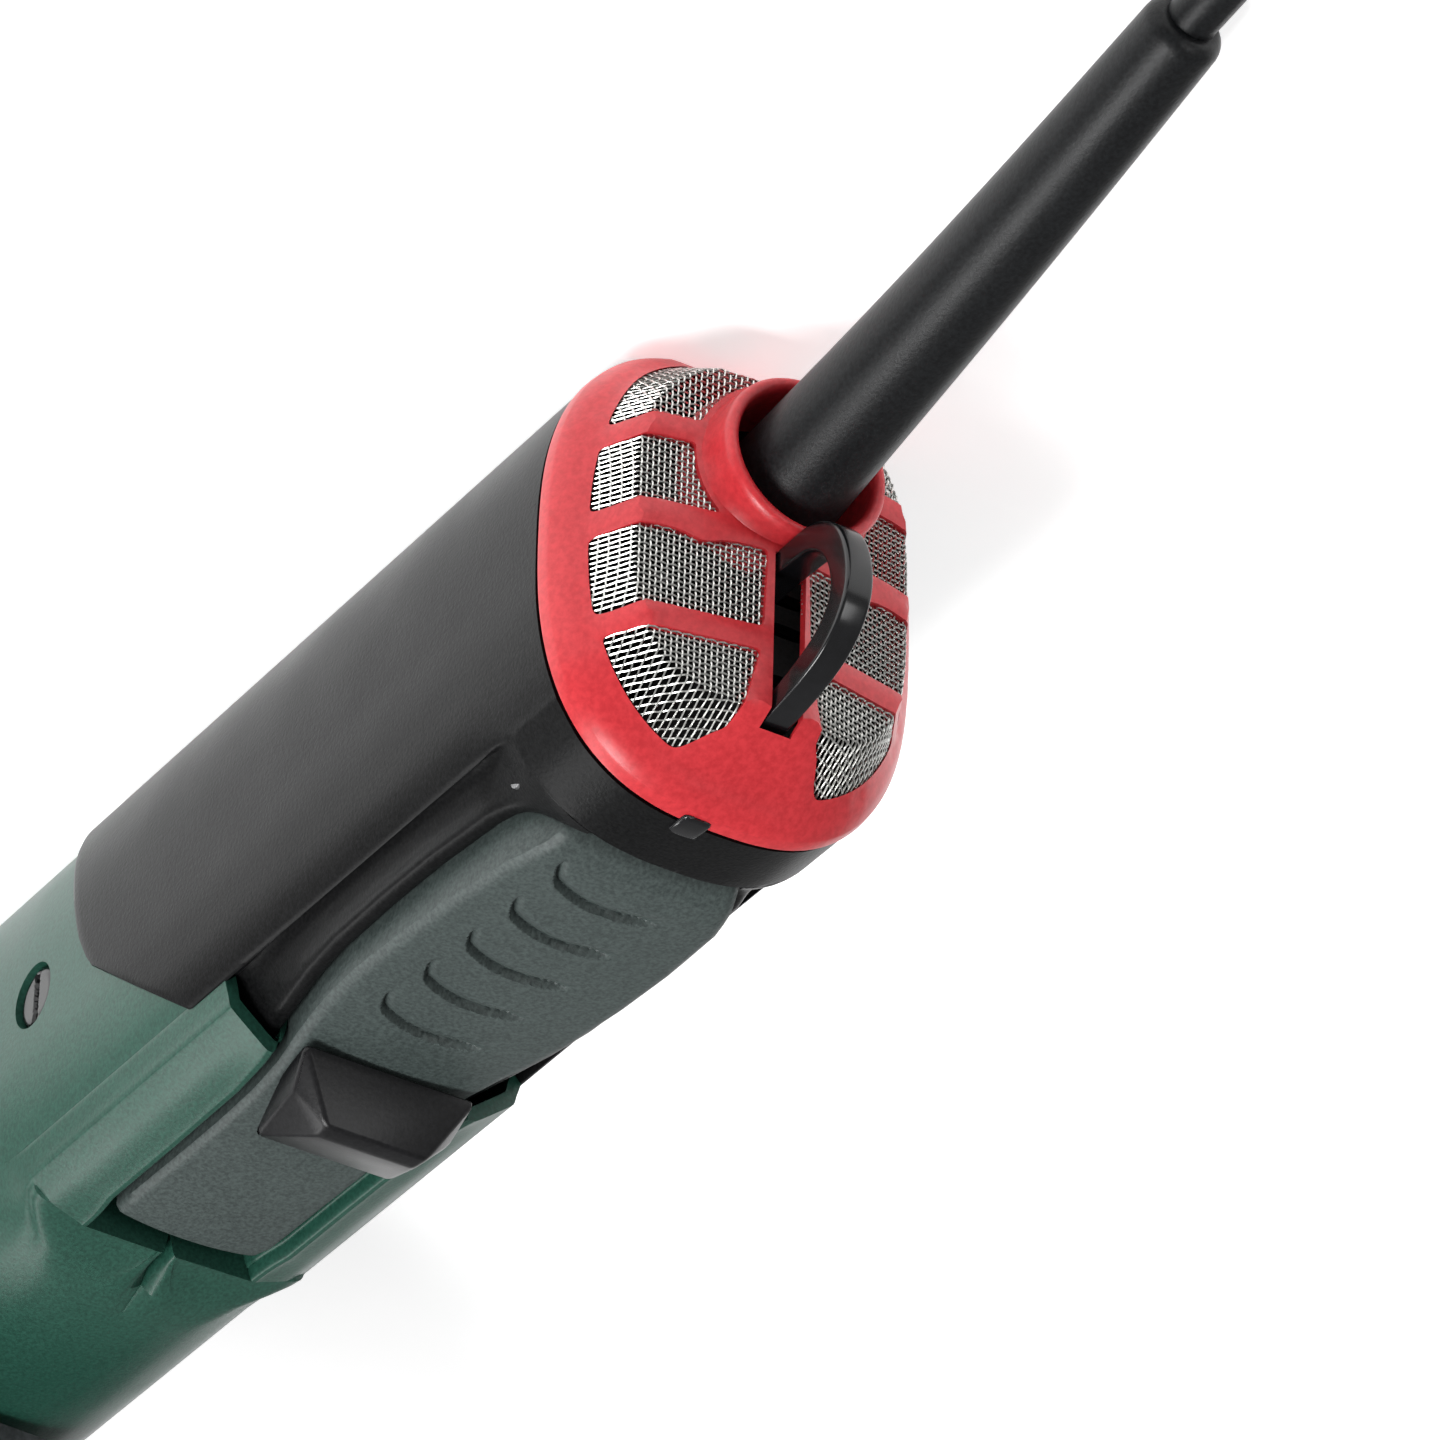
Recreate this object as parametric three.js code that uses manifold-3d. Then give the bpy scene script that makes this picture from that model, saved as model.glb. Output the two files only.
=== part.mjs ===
// A corded angle grinder with a paddle switch, lying on its back, in millimetres.
// Every piece is modelled about the body axis: +X runs to the rear, +Z to the paddle and the disc,
// and +Y to the tool's left. The whole group is then moved so that its base centre is the origin.
import * as THREE from "three";
import { mergeVertices } from "three/addons/utils/BufferGeometryUtils.js";
import Module from "manifold-3d";

const wasm = await Module();
wasm.setup();

// ---- driving dimensions ----
const GAP = 0.3; // between pieces that touch
const RUNNING = 0.1; // radial clearance of pins and shafts that turn

const BODY_HALF_WIDTH = 33.8;
const BODY_HALF_HEIGHT = 42.5;
const BODY_FLAT = 41; // body axis to the flat back that the tool rests on
const BODY_POWER = 2.6; // how square the superelliptic outline is
const BODY_SIDES = 36;
const SHELL_WALL = 3;
const REAR_LENGTH = 143; // soft-grip rear housing, at the height of the body axis
const EDGE_BACK = 16; // how far the grip's front edge runs forward along the tool's back
const EDGE_BELLY = 30; // and how far it draws back beside the paddle
const SPIGOT_LENGTH = 10; // motor housing inside the rear housing
const MOTOR_LENGTH = 120; // motor housing that shows, in front of the rear housing

const CAP_RIM = 7; // straight side of the filter cap
const CAP_BEVEL_RISE = 9;
const CAP_BEVEL_INSET = 5;
const CAP_ROOF_SLOPE = 0.23; // fall of the cap's roof per millimetre from its crest
const CAP_WALL = 2.4;
const CAP_RIB = 4.5;
const CAP_BAND = 6; // solid band around the windows
const CAP_ROWS = 4; // windows up each side
const MESH_THICKNESS = 0.7;
const COLLAR_Z = -14;
const COLLAR_BORE = 12.5;
const COLLAR_WALL = 2.2;
const COLLAR_HEIGHT = 5; // above the cap's crest
const COLLAR_SLIT = 3;
const EYE_THICKNESS = 5;
const EYE_BAND = 5.5;
const EYE_FOOT_X = -9;
const EYE_LOW_Z = 1; // edge next to the collar
const EYE_HIGH_Z = 33; // edge next to the paddle
const EYE_REACH = 42;

const SLEEVE_RADIUS = 9.6;
const SLEEVE_END_RADIUS = 6.7;
const SLEEVE_LENGTH = 126; // outside its flange
const SLEEVE_DROP = 0.162; // fall per millimetre towards the bench
const CORD_RADIUS = 4.25;
const CORD_SIDES = 10;
const COIL_X = 218;
const COIL_Y = 106;
const COIL_RADIUS = 49; // middle of the turns
const COIL_COLUMNS = 3;
const COIL_LAYERS = 4;
const PLUG_LENGTH = 58;
const PLUG_WIDTH = 36;
const PLUG_THICKNESS = 20;

const PADDLE_REAR_HALF = 16; // half widths from the rear end to the front end
const PADDLE_GRIP_HALF = 20.5;
const PADDLE_LEVER_HALF = 17.3;
const PADDLE_FRONT_HALF = 14.5;
const PADDLE_GRIP_X = -55;
const PADDLE_WALL = 2.6;
const PADDLE_SIDE_GAP = 1.2;
const PADDLE_REAR = 14.5; // rear end of the paddle, in front of the rear face
const PADDLE_REACH = 25; // paddle, in front of the rear housing
const PADDLE_ROOM_Z = 20.5; // roof of the pocket that the paddle rises into
const GROOVES = 5;
const GROOVE_PITCH = 13.3;
const GROOVE_FIRST = 32;
const PIVOT_X = -20;
const PIVOT_Z = 30;
const PIVOT_RADIUS = 2;
const LEVER_SETBACK = 45.5; // lever's rear face, behind the rear housing's front end
const LEVER_LENGTH = 22;
const LEVER_HEIGHT = 11.5;
const LEVER_TONGUE = 7;
const LEVER_PIN_REACH = 13.5; // lever's pin, in front of its rear face
const LEVER_PIN_Z = 30.2;
const LEVER_PIN_RADIUS = 1.5;
const SWITCH_SETBACK = 22.5; // where the paddle presses the switch, behind the lever

const STATOR_RADIUS = 30;
const STATOR_LENGTH = 50;
const STATOR_SETBACK = 35; // stator, in front of the rear housing
const BRUSH_SETBACK = 15; // brushes and the middle of the commutator, likewise
const ROTOR_RADIUS = 17;
const SHAFT_RADIUS = 5;
const COMMUTATOR_RADIUS = 12.5;
const BEARING_WIDTH = 8;

const SPINDLE_SETBACK = 49; // spindle axis, in front of the motor housing
const SPINDLE_RADIUS = 7;
const HEAD_RADIUS = 35;
const HEAD_BOTTOM = 31; // lower face of the gear housing, where the bearing cover seats
const HEAD_WALL = 5;
const COVER_HEIGHT = 7;
const NECK_RADIUS = 21; // guard seat on the bearing cover
const NECK_HEIGHT = 8;
const DISC_RADIUS = 75;
const DISC_THICKNESS = 3;
const GUARD_RADIUS = 84;
const GUARD_WALL = 1.8;
const GUARD_DEPTH = 22;
const LEVER_EYE = 4.5; // radius of the guard lever's round end
const SCREW_HEAD = 2.4; // height of the cover's screw heads
const PINION_TEETH = 9;
const GEAR_TEETH = 27;
const PINION_RADIUS = 7;
const GEAR_RADIUS = 25;
const GEAR_Z = 9.2;
const LOCK_RADIUS = 14.8; // spindle axis to the lock pin
const GEAR_THICKNESS = 7;
const HANDLE_LENGTH = 118;
const HANDLE_RADIUS = 16;
const HANDLE_SETBACK = 12; // side handle, behind the spindle axis
const HANDLE_Z = -12;

// ---- derived places ----
const REAR_FRONT = -REAR_LENGTH;
const MOTOR_REAR = REAR_FRONT + SPIGOT_LENGTH;
const MOTOR_FRONT = REAR_FRONT - MOTOR_LENGTH;
const PADDLE_FRONT = REAR_LENGTH + PADDLE_REACH;
const LEVER_X = REAR_FRONT + LEVER_SETBACK;
const LEVER_PIN_X = LEVER_X - LEVER_PIN_REACH;
const SWITCH_X = LEVER_X + SWITCH_SETBACK;
const STATOR_REAR = REAR_LENGTH + STATOR_SETBACK;
const BRUSH_X = REAR_FRONT - BRUSH_SETBACK;
const SPINDLE_X = MOTOR_FRONT - SPINDLE_SETBACK;
const HANDLE_X = SPINDLE_X + HANDLE_SETBACK;
const CAP_CREST = CAP_RIM + CAP_BEVEL_RISE + 5;
const SLEEVE_FOOT_X = 7;
const COVER_TOP = HEAD_BOTTOM + COVER_HEIGHT;
const NECK_TOP = COVER_TOP + NECK_HEIGHT;
const FLANGE_TOP = NECK_TOP + 6;
const DISC_TOP = FLANGE_TOP + DISC_THICKNESS;

// ---- helpers ----
const object = new THREE.Group();

const finish = (color, roughness, metalness) =>
  new THREE.MeshStandardMaterial({ color, roughness, metalness });
const MATERIALS = {
  grip: finish(0x1b1c1d, 0.75, 0),
  green: finish(0x1f4a3c, 0.5, 0),
  red: finish(0xc9303c, 0.45, 0),
  paddle: finish(0x3d4744, 0.6, 0),
  plastic: finish(0x141414, 0.4, 0),
  rubber: finish(0x151617, 0.7, 0),
  mesh: finish(0xa9a9a6, 0.35, 1),
  steel: finish(0x9a9c9e, 0.35, 1),
  bronze: finish(0xa8743c, 0.4, 1),
  iron: finish(0x5b5e60, 0.55, 1),
  alloy: finish(0x4a4d4f, 0.45, 1),
  carbon: finish(0x262626, 0.8, 0),
  abrasive: finish(0x2f2b29, 0.95, 0),
};

// A closed geometry as a solid that booleans can work on.
function solid(geometry) {
  const plain = geometry.index ? geometry.toNonIndexed() : geometry.clone();
  const bare = new THREE.BufferGeometry();
  bare.setAttribute("position", plain.getAttribute("position"));
  const merged = mergeVertices(bare, 1e-4);
  return new wasm.Manifold(
    new wasm.Mesh({
      numProp: 3,
      vertProperties: merged.attributes.position.array,
      triVerts: new Uint32Array(merged.index.array),
    }),
  );
}

function geometryOf(manifold) {
  const { vertProperties, triVerts } = manifold.getMesh();
  const geometry = new THREE.BufferGeometry();
  geometry.setAttribute("position", new THREE.BufferAttribute(vertProperties, 3));
  geometry.setIndex(new THREE.BufferAttribute(triVerts, 1));
  return geometry;
}

function piece(name, material, manifold) {
  const mesh = new THREE.Mesh(geometryOf(manifold), MATERIALS[material]);
  mesh.name = name;
  object.add(mesh);
  return manifold;
}

const join = (...solids) => solids.reduce((all, next) => all.add(next));
const cut = (from, ...tools) => tools.reduce((left, tool) => left.subtract(tool), from);

const outline = (points) => new THREE.Shape(points.map(([a, b]) => new THREE.Vector2(a, b)));

function extruded(shape, depth, options = {}) {
  return new THREE.ExtrudeGeometry(shape, {
    depth,
    bevelEnabled: false,
    curveSegments: 12,
    ...options,
  });
}

// An outline in (y, z) carried along X.
function alongX(shape, from, to, options) {
  const turn = new THREE.Matrix4().set(0, 0, 1, from, 1, 0, 0, 0, 0, 1, 0, 0, 0, 0, 0, 1);
  return solid(extruded(shape, to - from, options).applyMatrix4(turn));
}

// An outline in (x, z) carried along Y.
function alongY(shape, from, to) {
  return solid(extruded(shape, to - from).rotateX(Math.PI / 2).translate(0, to, 0));
}

// An outline in (x, y) carried along Z.
function alongZ(shape, from, to) {
  return solid(extruded(shape, to - from).translate(0, 0, from));
}

function box(x0, x1, y0, y1, z0, z1) {
  const geometry = new THREE.BoxGeometry(x1 - x0, y1 - y0, z1 - z0);
  return solid(geometry.translate((x0 + x1) / 2, (y0 + y1) / 2, (z0 + z1) / 2));
}

const TURNS = {
  x: (geometry) => geometry.rotateZ(-Math.PI / 2),
  y: (geometry) => geometry,
  z: (geometry) => geometry.rotateX(Math.PI / 2),
};

// A round bar along an axis, from one coordinate to another, centred on (a, b) of the other two.
function rod(axis, radius, from, to, a = 0, b = 0, sides = 18) {
  const bar = TURNS[axis](new THREE.CylinderGeometry(radius, radius, to - from, sides));
  const middle = (from + to) / 2;
  const place = { x: [middle, a, b], y: [a, middle, b], z: [a, b, middle] }[axis];
  return solid(bar.translate(...place));
}

// A ring or stepped bar: (radius, distance along the axis) pairs turned about the axis.
function turned(axis, profile, a = 0, b = 0, sides = 24) {
  const points = profile.map(([radius, along]) => new THREE.Vector2(radius, along));
  const body = new THREE.LatheGeometry(points, sides);
  const lay = {
    x: new THREE.Matrix4().set(0, 1, 0, 0, 0, 0, 1, a, 1, 0, 0, b, 0, 0, 0, 1),
    y: new THREE.Matrix4().set(1, 0, 0, a, 0, 1, 0, 0, 0, 0, 1, b, 0, 0, 0, 1),
    z: new THREE.Matrix4().set(0, 0, 1, a, 1, 0, 0, b, 0, 1, 0, 0, 0, 0, 0, 1),
  }[axis];
  const made = solid(body.applyMatrix4(lay));
  if (made.volume() > 0) return made;
  return solid(new THREE.LatheGeometry(points.reverse(), sides).applyMatrix4(lay));
}

const ring = (axis, inner, outer, from, to, a, b, sides) =>
  turned(axis, [[inner, from], [outer, from], [outer, to], [inner, to], [inner, from]], a, b, sides);

// A coil spring standing along Z, from one height to another.
class Helix extends THREE.Curve {
  constructor(x, y, from, to, radius, turns) {
    super();
    Object.assign(this, { x, y, from, to, radius, turns });
  }
  getPoint(t) {
    const angle = 2 * Math.PI * this.turns * t;
    const height = this.from + (this.to - this.from) * t;
    return new THREE.Vector3(
      this.x + this.radius * Math.cos(angle),
      this.y + this.radius * Math.sin(angle),
      height,
    );
  }
}

function disc(radius, sides) {
  const points = Array.from({ length: sides }, (_, i) => [
    radius * Math.cos((2 * Math.PI * i) / sides),
    radius * Math.sin((2 * Math.PI * i) / sides),
  ]);
  return outline(points);
}

function spring(x, y, from, to, radius, wire, turns) {
  const path = new Helix(x, y, from + wire, to - wire, radius, turns);
  const steps = Math.round(turns * 8);
  return solid(extruded(disc(wire, 5), 1, { steps, extrudePath: path }));
}

// The body's outline in (y, z): |y/a|^n + |z/b|^n = 1, cut flat along the back.
function bodyOutline(inset) {
  const a = BODY_HALF_WIDTH - inset;
  const b = BODY_HALF_HEIGHT - inset;
  const points = [];
  for (let i = 0; i < BODY_SIDES; i++) {
    const angle = (2 * Math.PI * (i + 0.5)) / BODY_SIDES;
    const [c, s] = [Math.cos(angle), Math.sin(angle)];
    const y = a * Math.sign(c) * Math.abs(c) ** (2 / BODY_POWER);
    const z = b * Math.sign(s) * Math.abs(s) ** (2 / BODY_POWER);
    points.push([y, Math.max(z, inset - BODY_FLAT)]);
  }
  return outline(points);
}

// The grip's front edge in side view, moved forward by an offset; the shell lies behind it.
function behindEdge(offset) {
  const edge = [
    [-EDGE_BACK, -60], [-EDGE_BACK, -32], [-1, 0], [3, 8], [EDGE_BELLY, 28], [EDGE_BELLY + 2, 60],
  ].map(([x, z]) => [REAR_FRONT - offset + x, z]);
  return alongY(outline([...edge, [50, 60], [50, -60]]), -60, 60);
}

// The paddle's plan, widened by a margin: narrow at the rear pivot, wide under the palm, narrow in front.
function paddlePlan(margin, rear = -PADDLE_REAR + margin) {
  const half = [
    [rear, PADDLE_REAR_HALF - 3], [rear - 4, PADDLE_REAR_HALF],
    [PADDLE_GRIP_X + 18, PADDLE_GRIP_HALF - 1.2], [PADDLE_GRIP_X, PADDLE_GRIP_HALF],
    [PADDLE_GRIP_X - 18, PADDLE_GRIP_HALF - 0.8], [LEVER_X, PADDLE_LEVER_HALF],
    [LEVER_X - 20, PADDLE_FRONT_HALF], [-PADDLE_FRONT + 8, PADDLE_FRONT_HALF],
    [-PADDLE_FRONT - margin, PADDLE_FRONT_HALF - 4],
  ].map(([x, y]) => [x, y + margin]);
  const other = half.map(([x, y]) => [x, -y]).reverse();
  return outline([...half, ...other]);
}

// ---- rear housing: two soft-grip half shells ----
function rearHousing() {
  const hollow = alongX(bodyOutline(SHELL_WALL), REAR_FRONT - 40, 1);
  const tube = cut(alongX(bodyOutline(0), REAR_FRONT - 30, 0), hollow).intersect(behindEdge(0));
  const bulkhead = cut(
    alongX(bodyOutline(SHELL_WALL - 1), -10, -6),
    rod("x", 7.5, -12, 0, 0, COLLAR_Z + 3.4),
    ...[-1, 1].flatMap((side) => [
      box(-12, 0, Math.min(side * 5, side * 22), Math.max(side * 5, side * 22), 0, 24),
      box(-12, 0, Math.min(side * 12, side * 25), Math.max(side * 12, side * 25), -24, -4),
    ]),
    box(-12, 0, -EYE_THICKNESS / 2 - GAP, EYE_THICKNESS / 2 + GAP, EYE_LOW_Z - 2, EYE_HIGH_Z + 2),
  );
  const bosses = [-1, 1].map((side) => {
    const inner = side * (PADDLE_REAR_HALF + PADDLE_SIDE_GAP + 0.8);
    const outer = side * 27;
    return rod("y", 5, Math.min(inner, outer), Math.max(inner, outer), PIVOT_X, PIVOT_Z);
  });
  const pocket = alongZ(paddlePlan(PADDLE_SIDE_GAP), PADDLE_ROOM_Z, 50);
  const pinHole = rod("y", PIVOT_RADIUS + RUNNING, -24.5, 24.5, PIVOT_X, PIVOT_Z);
  const housing = cut(join(tube, bulkhead, ...bosses), pocket, pinHole);
  const left = cut(housing, box(REAR_FRONT - 57, 10, -60, GAP / 2, -60, 60));
  const right = cut(housing, box(REAR_FRONT - 57, 10, -GAP / 2, 60, -60, 60));
  piece("rear_shell_left", "grip", left);
  piece("rear_shell_right", "grip", right);
}

// ---- intake filter: red frame, steel mesh, collar, lanyard eye ----
// The cap's outer surface drawn in by an inset: a straight rim, a bevel, and a roof that falls to both sides.
function capDome(inset, foot) {
  const bevel = { bevelEnabled: true, bevelSegments: 1, bevelThickness: CAP_BEVEL_RISE };
  const body = alongX(bodyOutline(inset + CAP_BEVEL_INSET), 0, CAP_RIM - inset, {
    ...bevel,
    bevelSize: CAP_BEVEL_INSET,
  });
  const crest = CAP_CREST - inset;
  const side = 60;
  const roof = [[-side, -20], [side, -20], [side, crest - CAP_ROOF_SLOPE * side], [0, crest]];
  roof.push([-side, crest - CAP_ROOF_SLOPE * side]);
  const prism = outline(roof.map(([y, x]) => [x, y]));
  const standing = solid(extruded(prism, 120).translate(0, 0, -60));
  return body.intersect(standing).intersect(box(foot, 60, -60, 60, -60, 60));
}

function windowRow(side, row) {
  const low = -BODY_FLAT + CAP_BAND;
  const pitch = (BODY_HALF_HEIGHT - CAP_BAND - 4 - low) / CAP_ROWS;
  const z0 = low + row * pitch + CAP_RIB / 2;
  const z1 = z0 + pitch - CAP_RIB;
  const edges = [side * 5.5, side * 60];
  return box(CAP_RIM + 0.5, 60, Math.min(...edges), Math.max(...edges), z0, z1);
}

function filterCap() {
  const collarTop = CAP_CREST + COLLAR_HEIGHT;
  const shell = cut(capDome(0, GAP), capDome(CAP_WALL, -5));
  const inside = alongX(bodyOutline(CAP_BAND), -5, 60);
  const windows = [-1, 1].flatMap((side) =>
    Array.from({ length: CAP_ROWS }, (_, row) => windowRow(side, row)),
  );
  const collarOuter = rod("x", COLLAR_BORE + COLLAR_WALL, 13, collarTop, 0, COLLAR_Z, 30);
  const collarSkirt = rod("x", COLLAR_BORE + COLLAR_WALL + 2.5, -5, 60, 0, COLLAR_Z, 26);
  const openings = cut(join(...windows).intersect(inside), collarSkirt);
  const slit = box(-5, 60, -COLLAR_SLIT / 2, COLLAR_SLIT / 2, -60, COLLAR_Z);
  const eyeHalf = EYE_THICKNESS / 2 + GAP;
  const eyeSlot = box(-5, 60, -eyeHalf, eyeHalf, EYE_LOW_Z - GAP, EYE_HIGH_Z + GAP);
  const bore = rod("x", COLLAR_BORE, -5, 60, 0, COLLAR_Z, 30);
  const flare = rod("x", COLLAR_BORE + 2, -5, 13, 0, COLLAR_Z + 2.5, 30);
  const collar = cut(join(cut(shell, openings, flare), collarOuter), bore, eyeSlot, slit);
  piece("filter_frame", "red", collar);

  const skin = cut(capDome(CAP_WALL + GAP, 2), capDome(CAP_WALL + GAP + MESH_THICKNESS, -5));
  const clear = rod("x", COLLAR_BORE + COLLAR_WALL + GAP, -5, 60, 0, COLLAR_Z, 26);
  for (const [name, side] of [["filter_mesh_left", 1], ["filter_mesh_right", -1]]) {
    const half = side > 0 ? box(2, 60, 4, 60, -60, 60) : box(2, 60, -60, -4, -60, 60);
    piece(name, "mesh", cut(skin.intersect(half), clear));
  }

  const band = EYE_BAND;
  const eye = [
    [EYE_FOOT_X, EYE_LOW_Z], [EYE_REACH - 10, EYE_LOW_Z], [EYE_REACH - 2, EYE_LOW_Z + 9],
    [EYE_REACH, EYE_LOW_Z + 19], [EYE_REACH - 10, EYE_HIGH_Z - 3], [EYE_FOOT_X + 4, EYE_HIGH_Z],
    [EYE_FOOT_X, EYE_HIGH_Z],
  ];
  const hole = [
    [CAP_CREST - 8, EYE_LOW_Z + band], [EYE_REACH - 12, EYE_LOW_Z + band],
    [EYE_REACH - 7.5, EYE_LOW_Z + band + 5], [EYE_REACH - 6, EYE_LOW_Z + band + 12],
    [EYE_REACH - 14, EYE_HIGH_Z - 8], [CAP_CREST - 8, EYE_HIGH_Z - band - 1],
  ];
  const half = EYE_THICKNESS / 2;
  const loop = cut(alongY(outline(eye), -half, half), alongY(outline(hole), -half - 1, half + 1));
  piece("lanyard_eye", "plastic", loop);
}

// ---- cord sleeve, cord, coil and plug ----
function cordParts() {
  const tilt = new THREE.Matrix4().makeRotationY(Math.atan(SLEEVE_DROP));
  const foot = new THREE.Vector3(SLEEVE_FOOT_X, 0, COLLAR_Z + (26 - SLEEVE_FOOT_X) * SLEEVE_DROP);
  const profile = [
    [0, -34], [CORD_RADIUS, -34], [CORD_RADIUS, -1.5], [SLEEVE_RADIUS + 1.8, -1.5],
    [SLEEVE_RADIUS + 1.8, 1.5], [SLEEVE_RADIUS, 2.5], [SLEEVE_RADIUS, 30],
    [SLEEVE_END_RADIUS, SLEEVE_LENGTH], [0, SLEEVE_LENGTH],
  ].map(([radius, along]) => new THREE.Vector2(radius, along));
  const lay = new THREE.Matrix4().set(0, 1, 0, 0, 0, 0, 1, 0, 1, 0, 0, 0, 0, 0, 0, 1);
  const sleeve = new THREE.LatheGeometry(profile, 20).applyMatrix4(lay).applyMatrix4(tilt);
  piece("cord_sleeve", "rubber", solid(sleeve.translate(foot.x, foot.y, foot.z)));

  const plugRest = PLUG_THICKNESS / 2 + 0.2 - BODY_FLAT;
  const rest = CORD_RADIUS + 0.2 - BODY_FLAT; // height of the cord's middle where it lies on the bench
  const run = [
    [131.9, 0, -34.4], [140, 0, -35.6], [150, 0.5, -36.4], [160, 1.5, rest], [175, 4, rest],
    [190, 8, rest], [205, 14, rest], [220, 22, rest], [235, 32, rest], [248, 42.5, rest],
  ];
  const tail = [
    [186.6, 163.6, rest], [180, 163.8, rest + 0.7], [172, 163.8, rest + 2.8], [164, 163.8, plugRest - 1],
    [158, 163.8, plugRest - 0.1], [153, 163.8, plugRest], [150, 163.8, plugRest],
  ];
  for (const [name, points] of [["cord", run], ["cord_tail", tail]]) {
    const path = new THREE.CatmullRomCurve3(points.map((p) => new THREE.Vector3(...p)));
    const steps = Math.round(path.getLength() / (5 * CORD_RADIUS)) + 2;
    piece(name, "rubber", solid(extruded(disc(CORD_RADIUS, CORD_SIDES), 1, { steps, extrudePath: path })));
  }

  const half = COIL_COLUMNS * CORD_RADIUS;
  const base = 0.2 - BODY_FLAT;
  const top = base + 2 * CORD_RADIUS * COIL_LAYERS;
  const tieSize = 1.2;
  const coil = ring("z", COIL_RADIUS - half, COIL_RADIUS + half, base, top, COIL_X, COIL_Y, 34);
  piece("cord_coil", "rubber", coil);
  const near = COIL_Y - COIL_RADIUS;
  const inner = half + GAP + 0.25;
  const outer = half + GAP + tieSize;
  const tie = cut(
    box(COIL_X - 4, COIL_X + 4, near - outer, near + outer, base + GAP, top + GAP + tieSize),
    box(COIL_X - 5, COIL_X + 5, near - inner, near + inner, -60, top + GAP),
  );
  piece("coil_tie", "plastic", tie);

  const tailEnd = tail[tail.length - 1];
  const plugEnd = tailEnd[0] - GAP;
  const boot = turned("x", [[0, -20], [6.5, -20], [CORD_RADIUS + 0.8, 0], [0, 0]], 0, 0, 16);
  const body = alongX(plugOutline(), -PLUG_LENGTH, -18);
  const shaped = body.translate([plugEnd, tailEnd[1], plugRest]);
  const bootPlaced = boot.translate([plugEnd, tailEnd[1], plugRest]);
  piece("plug_body", "rubber", join(shaped, bootPlaced));
  for (const [name, side] of [["plug_pin_left", 1], ["plug_pin_right", -1]]) {
    const face = plugEnd - PLUG_LENGTH;
    piece(name, "steel", rod("x", 2.4, face - 19 - GAP, face - GAP, tailEnd[1] + side * 9.5, plugRest, 16));
  }
}

function plugOutline() {
  const [a, b, c] = [PLUG_WIDTH / 2, PLUG_THICKNESS / 2, 6];
  return outline([
    [-a, -b + c], [-a + c, -b], [a - c, -b], [a, -b + c], [a, b - c], [a - c, b], [-a + c, b], [-a, b - c],
  ]);
}

// ---- paddle, lock-off lever and switch ----
// The paddle's side view: its lower edge falls a little to the lever and runs on under the motor housing.
const paddleLow = (drop) => [
  [-PADDLE_REAR, 38 - drop], [-PADDLE_REAR - 3, 41.3 - drop], [LEVER_X, 36.5 - drop],
  [LEVER_X - 32.5, 37.8 - drop], [-PADDLE_FRONT + 3, 37.4 - drop], [-PADDLE_FRONT, 35 - drop],
];
const paddleHigh = [
  [-PADDLE_FRONT, 30.5], [LEVER_X - 30.5, 27], [LEVER_X - 2.5, 26.3],
  [-34, 26.3], [-27, 24.5], [-PADDLE_REAR, 24.5],
];
const lowerAt = (x) => 36.5 + ((x - LEVER_X) / (-PADDLE_REAR - 3 - LEVER_X)) * 4.8;

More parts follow.
